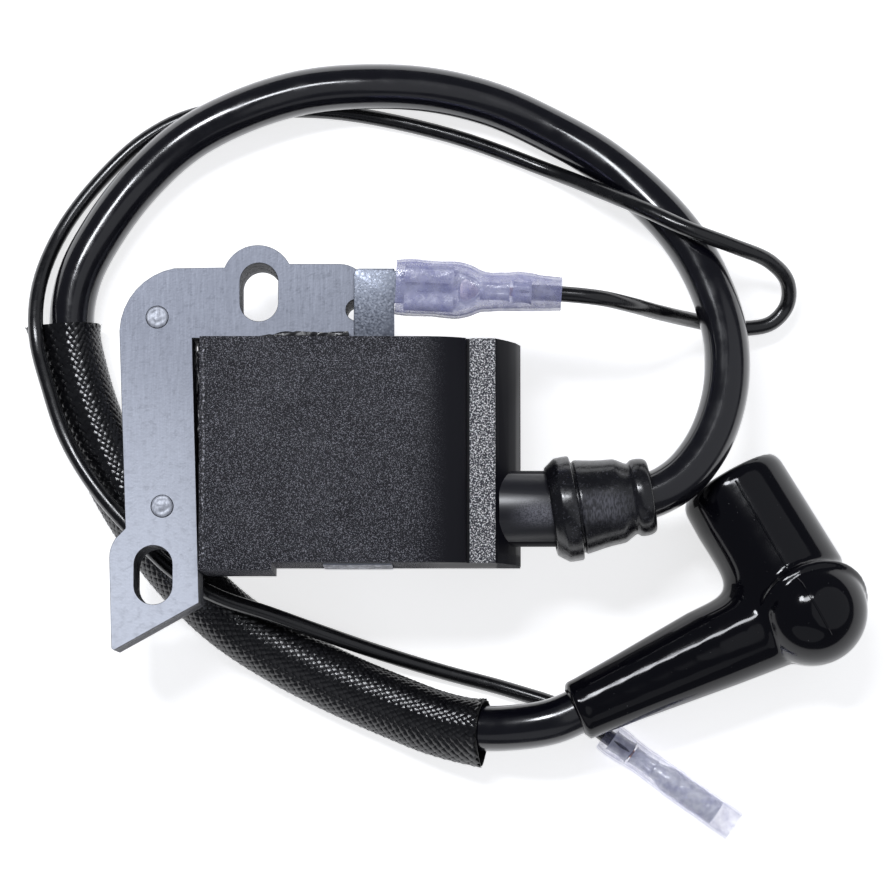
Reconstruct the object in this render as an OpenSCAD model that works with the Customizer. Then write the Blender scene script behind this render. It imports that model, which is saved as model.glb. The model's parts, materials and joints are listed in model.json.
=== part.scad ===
// Ignition coil of a small two-stroke engine, with its high-tension lead, plug cap and stop-switch wire.
// It lies on its back: Z = 0 is the table, +Z points out of the coil's front face.

/* [Core] */
// Thickness of the lamination stack
core_t = 12; // [10:0.5:12]
// Height of the core's rear mounting face above the table
core_z = 11; // [11:0.5:13]
// Width of the two mounting slots
slot_w = 5.7; // [4.5:0.1:6.5]
// Length of the two mounting slots, end to end
slot_l = 8.8; // [7:0.1:10]
// Diameter of the rivets that hold the stack
rivet_d = 3.3; // [2.5:0.1:4]

/* [Housing] */
// Height of the housing's front face above the table
housing_t = 28; // [28:0.5:30]
// Thickness of the housing's walls
wall = 1.3; // [1:0.1:1.5]
// Diameter of the high-tension tower
tower_d = 11.5; // [10.5:0.1:12]
// Height of the tower's axis above the table
tower_z = 18.5; // [18:0.1:19]

/* [Leads] */
// Diameter of the high-tension lead
lead_d = 7; // [6.5:0.1:7]
// Diameter of the high-tension lead's stranded core
lead_core_d = 1.8; // [1.2:0.1:2.2]
// Diameter of the stop-switch wire
wire_d = 2.4; // [2:0.1:2.4]
// Diameter of the stop-switch wire's copper strands
wire_core_d = 1.3; // [0.8:0.1:1.5]
// Width of the flattened braided sleeve
sleeve_w = 8.8; // [8.4:0.1:9]
// Height of the flattened braided sleeve
sleeve_h = 7.9; // [7.8:0.1:8]

/* [Plug cap] */
// Diameter of the cap's nose at its mouth
nose_d = 15.8; // [15:0.1:16.5]
// Diameter of the socket that grips the spark plug
socket_d = 10.4; // [10:0.1:11]
// Length of the nose from the knob's centre to its mouth
nose_l = 23.9; // [22:0.1:26]

/* [Terminals] */
// Width of the stop tab's blade
blade_w = 4.8; // [4.6:0.1:4.8]
// Thickness of the stop tab
blade_t = 0.8; // [0.6:0.1:0.8]
// Diameter of the bullet socket's bore
bullet_d = 3.5; // [3:0.1:3.6]

/* [Hidden] */

gap = 0.1;
eps = 0.01;

// Core
core_front = core_z + core_t;
core_mid = core_z + core_t / 2;
limb_x0 = -9.2;
limb_x1 = 1.2;
limb_mid = (limb_x0 + limb_x1) / 2;
limb_end = -17.8;
yoke_y = 16.4;
slot_upper = [-18.9, 23.4];
slot_lower = [-34.6, -19.2];
rivet_places = [[-34.2, 19.6], [-33.3, -8.9]];
locating_hole = [-4.2, 20.7];
locating_hole_d = 3.2;
rivet_head = 0.35;

// Housing
house_x0 = -27.5;
house_x1 = 20.6;
house_y0 = -17.5;
house_y1 = 16.2;
skirt_x1 = -16.7;
skirt_y0 = -18.7;
band_z = housing_t - 3;
step_z = 8.3;
well_x0 = -24.5;
well_y0 = -16.4;
well_cut = 3.5;
resin_z0 = 0.6;
resin_z1 = 3.6;
tower_y = -9;
tower_x0 = 17.2;
tower_x1 = 28;
tower_stop = 20.8;

front_r = 9.9;
spike_hole_d = 2;
collar_t = 1.6;
flash_t = 3;

// Windings, from the limb outward
bobbin_wall = 0.6;
primary_t = 1;
secondary_t = 1.1;
layer_0 = 0.2;
layer_1 = layer_0 + bobbin_wall;
layer_2 = layer_1 + primary_t;
layer_3 = layer_2 + gap;
layer_4 = layer_3 + bobbin_wall;
layer_5 = layer_4 + secondary_t;
coil_y0 = -14.9;
coil_y1 = 14.2;
flange_t = 1;
rib_places = [-9, -3, 3, 9];
rib_t = 0.6;

// Contacts in the tower and in the cap: a disc with a spike
spike_d = 1.7;
disc_d = 5;
disc_t = 0.8;
contact_x = 14;
contact_wire_d = 0.8;
tower_spike_l = 11;

// Module's board
board_x0 = -25.9;
board_x1 = -13.6;
board_y0 = -15;
board_y1 = house_y1 - wall - gap;
board_z = step_z + wall + gap;
board_t = 1.2;
board_top = board_z + board_t;

// Parts on the board
leg_d = 0.6;
transistor_at = [-21, -5];
transistor_size = [4.4, 7.6, 8];
transistor_tab = [0.8, 6, 8];
transistor_leg = [0.6, 0.8, 3.4];
transistor_pitch = 2.5;
resistor_x = -23.4;
resistor_rows = [6, 10];
resistor_l = 6.4;
resistor_d = 2.4;
resistor_lift = 2;
capacitor_at = [-19.5, -11];
capacitor_d = 6;
capacitor_h = 5;
diode_at = [-24.4, -8];
diode_size = [2.2, 4.6, 2];

// Strap from the board to the limb
strap_x = -15.6;
strap_y = coil_y1 + 0.15;
strap_z = core_z + 2.4;
strap_w = 1.6;
strap_t = 0.4;

// Boot, tilted on the tower
boot_at = [28, tower_y, tower_z];
boot_turn = 9.3;

// Stop tab and the terminal on it
tab_x0 = -4.6;
tab_x1 = 1.5;
tab_y0 = 14.4;
tab_y1 = 26.8;
blade_l = 8.6;
tab_z = core_front + 1;
terminal_at = [1.5, 24.05, tab_z];
terminal_turn = -2.5;
receptacle_x = 1.5;
receptacle_l = 7.4;
receptacle_w = 6.4;
receptacle_h = 2.6;
metal_t = 0.6;
core_crimp_x = 13.1;
core_crimp_l = 4.4;
core_crimp_d = 2.7;
wire_crimp_x = 17.4;
wire_crimp_l = 3.2;
wire_crimp_d = 3.3;
strands_past_wire = 3.6;

// Clear sleeve on that terminal, along it from the mouth to the tail
film_x0 = 0.2;
film_flat_x = 10;
film_neck_x = 13.2;
film_x1 = 25.1;
film_wall = 0.45;

// Bullet socket on the wire's far end, and its sleeve
bullet_at = [33.7, -42.8, 2.5];
bullet_turn = -35.3;
bullet_crimp_x = 1.4;
bullet_crimp_l = 3.5;
bullet_neck_x = 5.3;
bullet_cone_x = 9;
bullet_bore_x = 12;
bullet_bore_l = 9;
bullet_wall = 0.25;
bullet_strands = 3.4;
bullet_sleeve_d = 4.95;
bullet_sleeve_bore = 4.2;
bullet_sleeve_l = 24.4;

// Cap
cap_at = [29.4, -39.3, 11];
cap_turn = 25;
neck_d0 = 8.6;
neck_d1 = 14.6;
neck_l = 31;
neck_bore_l = 27;
channel_d = 6;
knob_at = [38.5, -1.3, 0.3];
knob_d = 17;
knob_hollow_d = 9.6;
nose_turn = 94.4;
nose_dip = 7.9;
nose_base_d = 17.4;
rim_r = 8;
rim_d = 1.9;
chamber_d = 8.4;
socket_floor = 8;
lead_in_cap = 14;
spike_l = 7;
lead_bared = 5.2;

// Route of the high-tension lead's centre line
LEAD = [
    [21, -9, 18.5], [28.5, -9, 18.5], [34, -8, 18.5], [40, -7, 18.5], [44.5, -4.5, 18],
    [48, -0.5, 17.2], [50.5, 4.5, 16.2], [52, 11, 14.8], [51.8, 18.5, 13], [49.5, 26.5, 10.8],
    [45.5, 34, 8.2], [40, 40.5, 6], [33, 46.5, 4.5], [25, 51.2, 3.8], [16.5, 55, 4],
    [7, 57.2, 4.8], [-3, 57.6, 5.8], [-13, 56.6, 6.2], [-22.5, 53.6, 6.2], [-31, 49.2, 5.4],
    [-38, 43, 4.4], [-43.8, 35.4, 4], [-47.6, 28, 4], [-48.8, 20.5, 4], [-47.4, 13, 4],
    [-44.8, 5, 4], [-41.2, -3, 4], [-36.8, -10.5, 4], [-31, -18, 4], [-24.2, -24.5, 4],
    [-16.5, -29.6, 4], [-7.5, -34.2, 4], [1.5, -38, 4.6], [8.5, -40.6, 6], [15, -41.9, 7.8],
    [21, -41.7, 9.8], [25.5, -40.9, 10.8], [29.4, -39.3, 11], [42.1, -33.4, 11]
];
sleeve_first = 23;
sleeve_last = 34;

// Route of the stop-switch wire's centre line
WIRE = [
    [19.5, 23.3, 24], [26.5, 23, 24], [32.5, 22.4, 23.7], [37, 21.8, 20.5], [41.5, 21.3, 14.8],
    [46.5, 20.9, 8.6], [51.5, 20.3, 5.4], [56.2, 20, 4.2], [59.8, 20.9, 3.9], [62.1, 23.6, 4.3],
    [62, 27, 6.4], [59, 29.8, 9.4], [53.4, 31.7, 12.6], [46.5, 34, 14.4],
    [40, 37.3, 12.4], [33, 41, 7.6], [25, 45, 2.4], [10, 50.6, 1.2], [-7, 54.2, 1.2],
    [-19, 54.6, 1.2],
    [-29.5, 54, 1.2], [-37.5, 50.2, 1.2], [-45, 43.2, 1.2], [-50.8, 35, 2.2], [-53.8, 26.5, 4.8],
    [-54, 18.5, 6.8], [-52, 10.5, 6.8], [-49.2, 2.6, 7.2], [-44.4, -5.2, 8.5], [-38.5, -12, 9.4],
    [-32, -18.2, 9.6], [-25.5, -21.9, 9.5], [-18, -24.4, 8.4], [-10, -27.2, 6.4], [-1, -30.2, 3],
    [9, -33.2, 1.3], [19, -35.9, 1.2], [28.8, -39.3, 2.5], [33.7, -42.8, 2.5], [37.8, -45.7, 2.5]
];

// ---------- Sweeping ----------

function unit(v) = v / norm(v);
function heading(p, i) = unit(
    i == 0 ? p[1] - p[0] :
    i == len(p) - 1 ? p[i] - p[i - 1] :
    unit(p[i] - p[i - 1]) + unit(p[i + 1] - p[i])
);
function across(t) = unit(cross(t, [0, 0, 1]));
function upward(t) = cross(across(t), t);

// One closed section of half-width a and half-height b around each point of a route
function rings(p, a, b, sides) = [
    for (i = [0 : len(p) - 1])
        let (t = heading(p, i), u = across(t), v = upward(t))
            for (k = [0 : sides - 1])
                let (w = 360 * k / sides) p[i] + u * a * cos(w) + v * b * sin(w)
];
function skin_faces(n, sides, base, flip) = [
    for (i = [0 : n - 2])
        for (k = [0 : sides - 1])
            let (
                m = (k + 1) % sides,
                q = [
                    base + i * sides + k, base + i * sides + m,
                    base + (i + 1) * sides + m, base + (i + 1) * sides + k
                ]
            ) flip ? [q[3], q[2], q[1], q[0]] : q
];
function rim_faces(first, inner, sides, flip) = [
    for (k = [0 : sides - 1])
        let (
            m = (k + 1) % sides,
            q = [first + k, inner + k, inner + m, first + m]
        ) flip ? [q[3], q[2], q[1], q[0]] : q
];

// A solid cord
module cord(p, d, sides) {
    n = len(p);
    polyhedron(
        points = rings(p, d / 2, d / 2, sides),
        faces = concat(
            skin_faces(n, sides, 0, false),
            [[for (k = [sides - 1 : -1 : 0]) k]],
            [[for (k = [0 : sides - 1]) (n - 1) * sides + k]]
        ),
        convexity = 10
    );
}

// A hollow cord, whose section may be flattened
module hose(p, w, h, bore_w, bore_h, sides) {
    n = len(p);
    inner = n * sides;
    last = (n - 1) * sides;
    polyhedron(
        points = concat(rings(p, w / 2, h / 2, sides), rings(p, bore_w / 2, bore_h / 2, sides)),
        faces = concat(
            skin_faces(n, sides, 0, false),
            skin_faces(n, sides, inner, true),
            rim_faces(0, inner, sides, false),
            rim_faces(last, inner + last, sides, true)
        ),
        convexity = 10
    );
}

function span(p, first, last) = [for (i = [first : last]) p[i]];
function arc(c, r, from, to, steps) = [
    for (i = [0 : steps])
        let (w = from + (to - from) * i / steps) c + r * [cos(w), sin(w)]
];

// ---------- Core ----------

// An upright slot with round ends, made of exact circles
module slot_2d(at) {
    reach = (slot_l - slot_w) / 2;
    translate(at) {
        square([slot_w, 2 * reach], center = true);
        for (s = [-1, 1]) translate([0, s * reach]) circle(d = slot_w, $fn = 48);
    }
}

module core_outline() {
    polygon(concat(
        [[-40.4, -30.5], [-27.7, -23.4], [-28.9, yoke_y], [limb_x0, yoke_y]],
        [[limb_x0, limb_end], [limb_x1, limb_end], [limb_x1, 21.6]],
        arc([-6.8, 23.2], 4.5, 45, 90, 5),
        [[-14.5, 27.7], [-24, 27.15]],
        arc([-29.9, 17.2], 10, 100, 178, 8),
        [[-38.8, -12.2]],
        arc([-36.2, -16.6], 5, 145, 180, 4),
        [[-40.8, -30.2]]
    ));
    translate([-19.1, 25.15]) circle(r = 5.4, $fn = 64);
}

module core_laminations() {
    color([0.68, 0.7, 0.76])
        translate([0, 0, core_z])
            linear_extrude(core_t)
                difference() {
                    core_outline();
                    slot_2d(slot_upper);
                    slot_2d(slot_lower);
                    translate(locating_hole) circle(d = locating_hole_d, $fn = 32);
                    for (p = rivet_places) translate(p) circle(d = rivet_d, $fn = 32);
                }
}

module core_rivets() {
    color([0.8, 0.81, 0.84])
        for (p = rivet_places)
            translate([p[0], p[1], core_z])
                cylinder(d = rivet_d, h = core_t + rivet_head, $fn = 32);
}

// ---------- Housing ----------

// Section of the housing's front part seen along Y: x across, z up, shrunk by a wall thickness t
module house_section(t) {
    polygon(concat(
        [[house_x0 + t, step_z + t], [house_x0 + t, housing_t - t]],
        t > 0 ? [[5.7, housing_t - t], [11, band_z - t]] :
            arc([5.7, housing_t - front_r], front_r, 90, 49, 6),
        t > 0 ? [] : [[12.3, band_z - 0.6], [12.8, band_z - 0.6], [12.8, band_z]],
        [[16.6 - t, band_z - t], [17.1 - t, 24 - t], [18.6 - t, 21.1], [19.8 - t, 18]],
        [[house_x1 - t, 14.2], [house_x1 - t, step_z + t]]
    ));
}

// Plan of the narrower well behind it, with one corner cut off at 45 degrees where the leads pass
module well_2d(t) {
    cut = well_cut - (2 - sqrt(2)) * t;
    polygon([
        [well_x0 + t, house_y1 - t], [well_x0 + t, well_y0 + t + cut],
        [well_x0 + t + cut, well_y0 + t], [house_x1 - t, well_y0 + t], [house_x1 - t, house_y1 - t]
    ]);
}

// The section above, extruded between two Y places
module house_body(t, y0, y1) {
    translate([0, y1, 0])
        rotate([90, 0, 0])
            linear_extrude(y1 - y0)
                house_section(t);
}

module coil_housing() {
    color([0.13, 0.13, 0.14]) {
        difference() {
            union() {
                house_body(0, house_y0, house_y1);
                translate([house_x0, skirt_y0, step_z])
                    cube([skirt_x1 - house_x0, house_y0 - skirt_y0 + eps, housing_t - step_z]);
                linear_extrude(step_z + eps) well_2d(0);
            }
            house_body(wall, house_y0 + wall, house_y1 - wall);
            translate([0, 0, -1]) linear_extrude(step_z + wall + 1 + eps) well_2d(wall);
            translate([limb_x0 - gap, house_y0 - 2, core_z - gap])
                cube([limb_x1 - limb_x0 + 2 * gap, house_y1 - house_y0 + 4, core_t + 2 * gap]);
            translate([tab_x0 - gap, house_y1 - 3, tab_z - blade_t / 2 - gap])
                cube([tab_x1 - tab_x0 + 2 * gap, 4, blade_t + 2 * gap]);
            translate([0, tower_y, tower_z])
                rotate([0, 90, 0])
                    cylinder(d = tower_d - 1, h = 40, $fn = 64);
        }
        translate([tower_x0, tower_y, tower_z])
            rotate([0, 90, 0])
                difference() {
                    cylinder(d = tower_d, h = tower_x1 - tower_x0, $fn = 64);
                    translate([0, 0, tower_stop - tower_x0])
                        cylinder(d = lead_d + 2 * gap, h = 20, $fn = 64);
                    translate([0, 0, -1])
                        cylinder(d = spike_hole_d, h = 20, $fn = 32);
                }
    }
}

module sealing_bead() {
    color([0.06, 0.06, 0.07]) {
        // Collar of resin where the limb enters the housing
        translate([0, 0, core_front + gap])
            linear_extrude(collar_t)
                polygon([
                    [-21, house_y1 + gap], [-14.5, 17.3], [-5.4, 17.2], [-5.4, house_y1 + gap]
                ]);
        // Flash between the left leg and the housing
        translate([0, 0, core_front - flash_t])
            linear_extrude(flash_t)
                polygon([
                    [-28.4, 14.5], [-28.1, 13.6], [-28.3, 11], [-27.9, 9.4], [-28.1, 6], [-28, 2],
                    [-27.8, -1.5], [-27.9, -4.5], [-27.7, -8], [-27.6, -8], [-27.6, 14.5]
                ]);
    }
}

module potting_resin() {
    color([0.1, 0.09, 0.09])
        translate([0, 0, resin_z0])
            linear_extrude(resin_z1 - resin_z0) well_2d(wall + gap);
}

// ---------- Windings ----------

// A rectangular tube around the limb between two distances from it
module around_limb(inner, outer, y0, y1) {
    translate([limb_mid, y1, core_mid])
        rotate([90, 0, 0])
            linear_extrude(y1 - y0)
                difference() {
                    limb_2d(outer);
                    limb_2d(inner);
                }
}

module limb_2d(away) {
    square([limb_x1 - limb_x0 + 2 * away, core_t + 2 * away], center = true);
}

module spool(inner, outer, rim) {
    around_limb(inner, outer, coil_y0, coil_y1);
    around_limb(outer - eps, rim, coil_y0, coil_y0 + flange_t);
    around_limb(outer - eps, rim, coil_y1 - flange_t, coil_y1);
}

module primary_bobbin() {
    color([0.86, 0.86, 0.84]) spool(layer_0, layer_1, layer_2);
}

module primary_winding() {
    color([0.62, 0.32, 0.14])
        around_limb(layer_1 + eps, layer_2, coil_y0 + flange_t + gap, coil_y1 - flange_t - gap);
}

module secondary_bobbin() {
    color([0.2, 0.22, 0.2]) spool(layer_3, layer_4, layer_5);
    color([0.2, 0.22, 0.2])
        for (y = rib_places) around_limb(layer_4 - eps, layer_5, y - rib_t / 2, y + rib_t / 2);
}

module secondary_winding() {
    starts = concat([coil_y0 + flange_t], [for (y = rib_places) y + rib_t / 2]);
    ends = concat([for (y = rib_places) y - rib_t / 2], [coil_y1 - flange_t]);
    color([0.7, 0.4, 0.2])
        for (k = [0 : len(starts) - 1])
            around_limb(layer_4 + eps, layer_5, starts[k] + gap, ends[k] - gap);
}

// ---------- Module ----------

module module_board() {
    color([0.12, 0.35, 0.18])
        translate([board_x0, board_y0, board_z])
            cube([board_x1 - board_x0, board_y1 - board_y0, board_t]);
}

// Moves a part to a place on the board, at that height over it
module on_board(at, lift = 0) {
    translate([at[0], at[1], board_top + eps + lift]) children();
}

module switching_transistor() {
    middle = transistor_at + [transistor_size[0], transistor_size[1]] / 2;
    color([0.07, 0.07, 0.07]) {
        on_board(transistor_at, transistor_leg[2]) cube(transistor_size);
        on_board(middle - [transistor_tab[0], transistor_tab[1]] / 2, transistor_leg[2] + 2)
            cube(transistor_tab);
    }
    color([0.75, 0.75, 0.78])
        for (k = [-1 : 1])
            on_board(middle + [-transistor_leg[0] / 2, k * transistor_pitch - transistor_leg[1] / 2])
                cube(transistor_leg);
}

module module_components() {
    // Two resistors, standing clear of the board on their legs
    for (y = resistor_rows)
        on_board([resistor_x, y], resistor_lift)
            rotate([0, 90, 0]) {
                color([0.75, 0.66, 0.5]) cylinder(d = resistor_d, h = resistor_l, $fn = 24);
                color([0.75, 0.75, 0.78])
                    translate([0, 0, -1]) cylinder(d = leg_d, h = resistor_l + 2, $fn = 16);
            }
    color([0.75, 0.75, 0.78])
        for (y = resistor_rows, x = [resistor_x - 0.8, resistor_x + resistor_l + 0.8])
            on_board([x, y]) cylinder(d = leg_d, h = resistor_lift, $fn = 16);
    // A capacitor and a diode
    color([0.6, 0.3, 0.12])
        on_board(capacitor_at) cylinder(d = capacitor_d, h = capacitor_h, $fn = 32);
    color([0.08, 0.08, 0.08])
        on_board(diode_at) cube(diode_size);
}

module ground_strap() {
    // From the board up to the side of the limb's laminations
    color([0.82, 0.83, 0.84]) {
        translate([strap_x, strap_y, board_top + eps])
            cube([strap_w, strap_t, strap_z + strap_w - board_top]);
        translate([strap_x, strap_y, strap_z]) cube([limb_x0 - strap_x - eps, strap_t, strap_w]);
    }
}

module ht_contact() {
    wire_x = limb_x1 + layer_5 + gap;
    color([0.8, 0.65, 0.3])
        translate([0, tower_y, tower_z])
            rotate([0, 90, 0]) {
                translate([0, 0, wire_x])
                    cylinder(d = contact_wire_d, h = contact_x - wire_x + gap, $fn = 24);
                translate([0, 0, contact_x]) cylinder(d = disc_d, h = disc_t, $fn = 32);
                translate([0, 0, contact_x + disc_t - gap])
                    cylinder(d = spike_d, h = tower_spike_l, $fn = 24);
            }
}

// ---------- Stop tab and its terminal ----------

module in_terminal_frame() {
    translate(terminal_at) rotate([0, 0, terminal_turn]) children();
}

module kill_tab() {
    corner = 0.9;
    root = 0.6;
    color([0.74, 0.75, 0.72])
        translate([0, 0, tab_z - blade_t / 2])
            linear_extrude(blade_t) {
                translate([tab_x0, tab_y0]) square([tab_x1 - tab_x0, tab_y1 - tab_y0 - corner]);
                translate([tab_x0 + corner, tab_y0])
                    square([tab_x1 - tab_x0 - corner, tab_y1 - tab_y0]);
                translate([tab_x0 + corner, tab_y1 - corner]) circle(r = corner, $fn = 24);
                translate([terminal_at[0], terminal_at[1]])
                    rotate(terminal_turn)
                        translate([-root, -blade_w / 2]) square([blade_l + root, blade_w]);
            }
}

// A rolled receptacle, open at its front and along the middle of its top
module receptacle_2d() {
    slit_w = 1.8;
    difference() {
        square([receptacle_w, receptacle_h], center = true);
        translate([-2.7, metal_t - receptacle_h / 2]) square([5.4, 1.5]);
        translate([-slit_w / 2, 0]) square([slit_w, receptacle_h]);
    }
}

// A crimped barrel along X
module crimp(x, length, d, bore_d) {
    translate([x, 0, 0])
        rotate([0, 90, 0])
            difference() {
                cylinder(d = d, h = length, $fn = 32);
                translate([0, 0, -1]) cylinder(d = bore_d, h = length + 2, $fn = 32);
            }
}

module kill_terminal() {
    color([0.78, 0.76, 0.72])
        in_terminal_frame() {
            translate([receptacle_x, 0, 0])
                rotate([90, 0, 90])
                    linear_extrude(receptacle_l) receptacle_2d();
            translate([0, 0, -receptacle_h / 2])
                linear_extrude(metal_t)
                    difference() {
                        polygon([[8.8, -3.2], [8.8, 3.2], [13.3, 1.3], [13.3, -1.3]]);
                        translate([11, 0]) circle(d = 2, $fn = 24);
                    }
            crimp(core_crimp_x, core_crimp_l, core_crimp_d, wire_core_d + 2 * gap);
            crimp(wire_crimp_x, wire_crimp_l, wire_crimp_d, wire_d + 2 * gap);
        }
}

// Outside or inside of the clear sleeve: a flat front, a neck and a round tail
module sleeve_form(t, x0, x1) {
    flat_w = 4.2 - t;
    flat_h = 2.3 - t;
    tail_0 = 2.95 - t;
    tail_1 = 2.5 - t;
    module flat_2d() {
        square([2 * (flat_w - flat_h), 2 * flat_h], center = true);
        for (s = [-1, 1]) translate([s * (flat_w - flat_h), 0]) circle(r = flat_h, $fn = 32);
    }
    rotate([90, 0, 90]) {
        translate([0, 0, x0]) linear_extrude(film_flat_x - x0) flat_2d();
        hull() {
            translate([0, 0, film_flat_x - eps]) linear_extrude(eps) flat_2d();
            translate([0, 0, film_neck_x]) cylinder(r = tail_0, h = eps, $fn = 32);
        }
        translate([0, 0, film_neck_x])
            cylinder(r1 = tail_0, r2 = tail_1, h = film_x1 - film_neck_x, $fn = 32);
        if (x1 > film_x1)
            translate([0, 0, film_x1 - gap]) cylinder(r = tail_1, h = x1 - film_x1 + gap, $fn = 32);
    }
}

module kill_terminal_sleeve() {
    color([0.8, 0.8, 0.9, 0.5])
        in_terminal_frame()
            difference() {
                sleeve_form(0, film_x0, film_x1);
                sleeve_form(film_wall, film_x0 - 1, film_x1 + 1);
            }
}

// ---------- Cords ----------

module ht_lead() {
    color([0.08, 0.08, 0.1])
        hose(LEAD, lead_d, lead_d, lead_core_d + 0.2, lead_core_d + 0.2, 12);
}

module ht_conductor() {
    // It stops short of the spikes that pierce both ends of the lead
    first = LEAD[0] + [lead_bared, 0, 0];
    last = LEAD[len(LEAD) - 1] - spike_l * unit(LEAD[len(LEAD) - 1] - LEAD[len(LEAD) - 2]);
    color([0.75, 0.45, 0.28])
        cord(concat([first], span(LEAD, 1, len(LEAD) - 2), [last]), lead_core_d, 12);
}

module braided_sleeve() {
    color([0.1, 0.1, 0.11])
        hose(
            span(LEAD, sleeve_first, sleeve_last),
            sleeve_w, sleeve_h, sleeve_w - 0.7, sleeve_h - 0.7, 12
        );
}

module kill_wire() {
    color([0.1, 0.1, 0.11])
        hose(WIRE, wire_d, wire_d, wire_core_d + 0.1, wire_core_d + 0.1, 8);
}

module kill_wire_conductor() {
    first = WIRE[0] - strands_past_wire * unit(WIRE[1] - WIRE[0]);
    last = WIRE[len(WIRE) - 1] + bullet_strands * unit(WIRE[len(WIRE) - 1] - WIRE[len(WIRE) - 2]);
    color([0.75, 0.45, 0.28])
        cord(concat([first], WIRE, [last]), wire_core_d, 8);
}

// ---------- Boot on the tower ----------

module tower_boot() {
    // Half outline of the boot around its axis: [radius, distance along it]
    color([0.12, 0.12, 0.13])
        translate(boot_at)
            rotate([0, 0, boot_turn])
                rotate([0, 90, 0])
                    rotate_extrude($fn = 64)
                        polygon([
                            [6.4, -3], [7, -3], [8, -1.4], [8, 0.6], [7.4, 1.2], [7.2, 1.3],
                            [6.6, 5], [6.5, 7.4], [5.6, 9.2], [5.5, 9.6], [5.9, 10.2], [5.9, 11.6],
                            [5.2, 12.8], [lead_d / 2 + gap, 12.8], [lead_d / 2 + gap, 3], [6.4, 1.5]
                        ]);
}

// ---------- Bullet socket ----------

module in_bullet_frame() {
    translate(bullet_at) rotate([0, 0, bullet_turn]) rotate([0, 90, 0]) children();
}

module bullet_terminal() {
    barrel_d = bullet_d + 2 * bullet_wall;
    color([0.82, 0.82, 0.84])
        in_bullet_frame()
            difference() {
                union() {
                    translate([0, 0, bullet_crimp_x])
                        cylinder(d = wire_crimp_d, h = bullet_crimp_l, $fn = 32);
                    translate([0, 0, bullet_neck_x])
                        cylinder(d = core_crimp_d, h = bullet_cone_x - bullet_neck_x + gap, $fn = 32);
                    translate([0, 0, bullet_cone_x])
                        cylinder(d1 = core_crimp_d, d2 = barrel_d, h = bullet_bore_x - bullet_cone_x, $fn = 32);
                    translate([0, 0, bullet_bore_x])
                        cylinder(d = barrel_d, h = bullet_bore_l, $fn = 32);
                    // Strip that joins the two crimps
                    translate([0, 0, bullet_crimp_x + bullet_crimp_l - gap])
                        cube([1, 2.6, 1.2], center = true);
                }
                translate([0, 0, -1]) cylinder(d = wire_d + 2 * gap, h = bullet_neck_x + 1, $fn = 32);
                translate([0, 0, -1])
                    cylinder(d = wire_core_d + 2 * gap, h = bullet_cone_x + 2, $fn = 32);
                translate([0, 0, bullet_bore_x]) cylinder(d = bullet_d, h = bullet_bore_l + 1, $fn = 32);
            }
}

module bullet_sleeve() {
    color([0.8, 0.8, 0.9, 0.5])
        in_bullet_frame()
            difference() {
                cylinder(d = bullet_sleeve_d, h = bullet_sleeve_l, $fn = 32);
                translate([0, 0, -1]) cylinder(d = bullet_sleeve_bore, h = bullet_sleeve_l + 2, $fn = 32);
            }
}

// ---------- Plug cap ----------

module in_cap_frame() {
    translate(cap_at) rotate([0, 0, cap_turn]) children();
}

module along_nose() {
    translate(knob_at) rotate([0, 0, nose_turn]) rotate([0, 90 + nose_dip, 0]) children();
}

module plug_cap() {
    bore_d = lead_d + gap;
    color([0.07, 0.07, 0.08])
        in_cap_frame()
            difference() {
                union() {
                    rotate([0, 90, 0]) cylinder(d1 = neck_d0, d2 = neck_d1, h = neck_l, $fn = 64);
                    translate(knob_at) sphere(d = knob_d, $fn = 64);
                    along_nose() {
                        cylinder(d1 = nose_base_d, d2 = nose_d, h = nose_l, $fn = 64);
                        rotate_extrude($fn = 64) translate([rim_r, -1]) circle(d = rim_d, $fn = 24);
                    }
                }
                rotate([0, 90, 0]) {
                    translate([0, 0, -1]) cylinder(d = bore_d, h = neck_bore_l + 1, $fn = 64);
                    translate([0, 0, -eps]) cylinder(d1 = bore_d + 0.6, d2 = bore_d, h = 1.2, $fn = 64);
                    translate([0, 0, lead_in_cap])
                        cylinder(d = channel_d, h = knob_at[0] - lead_in_cap, $fn = 64);
                }
                along_nose() {
                    translate([0, 0, socket_floor]) cylinder(d = socket_d, h = nose_l, $fn = 64);
                    cylinder(d = chamber_d, h = socket_floor + eps, $fn = 64);
                }
                translate(knob_at) sphere(d = knob_hollow_d, $fn = 48);
            }
}

// A coil spring in the knob that presses on the spark plug's terminal
module plug_terminal_spring() {
    turns = 4;
    per_turn = 14;
    pitch = 1.5;
    radius = 3;
    spring_wire_d = 0.7;
    coil = [
        for (i = [0 : turns * per_turn])
            let (w = 360 * i / per_turn) [radius * cos(w), radius * sin(w), pitch * i / per_turn]
    ];
    color([0.8, 0.8, 0.82])
        in_cap_frame()
            along_nose()
                translate([0, 0, 0.5])
                    cord(coil, spring_wire_d, 6);
}

module lead_end_spike() {
    color([0.8, 0.65, 0.3])
        in_cap_frame()
            rotate([0, 90, 0]) {
                translate([0, 0, lead_in_cap - spike_l + 2 * gap])
                    cylinder(d = spike_d, h = spike_l, $fn = 24);
                translate([0, 0, lead_in_cap + gap])
                    cylinder(d = disc_d, h = disc_t + 2 * gap, $fn = 32);
            }
}

core_laminations();
core_rivets();
coil_housing();
sealing_bead();
potting_resin();
primary_bobbin();
primary_winding();
secondary_bobbin();
secondary_winding();
module_board();
switching_transistor();
module_components();
ground_strap();
ht_contact();
kill_tab();
tower_boot();
ht_lead();
ht_conductor();
braided_sleeve();
kill_wire();
kill_wire_conductor();
kill_terminal();
kill_terminal_sleeve();
bullet_terminal();
bullet_sleeve();
plug_cap();
plug_terminal_spring();
lead_end_spike();
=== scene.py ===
import json
import math
import random

import bmesh
import bpy
import numpy as np
from mathutils import Matrix, Vector, geometry, noise


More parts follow.
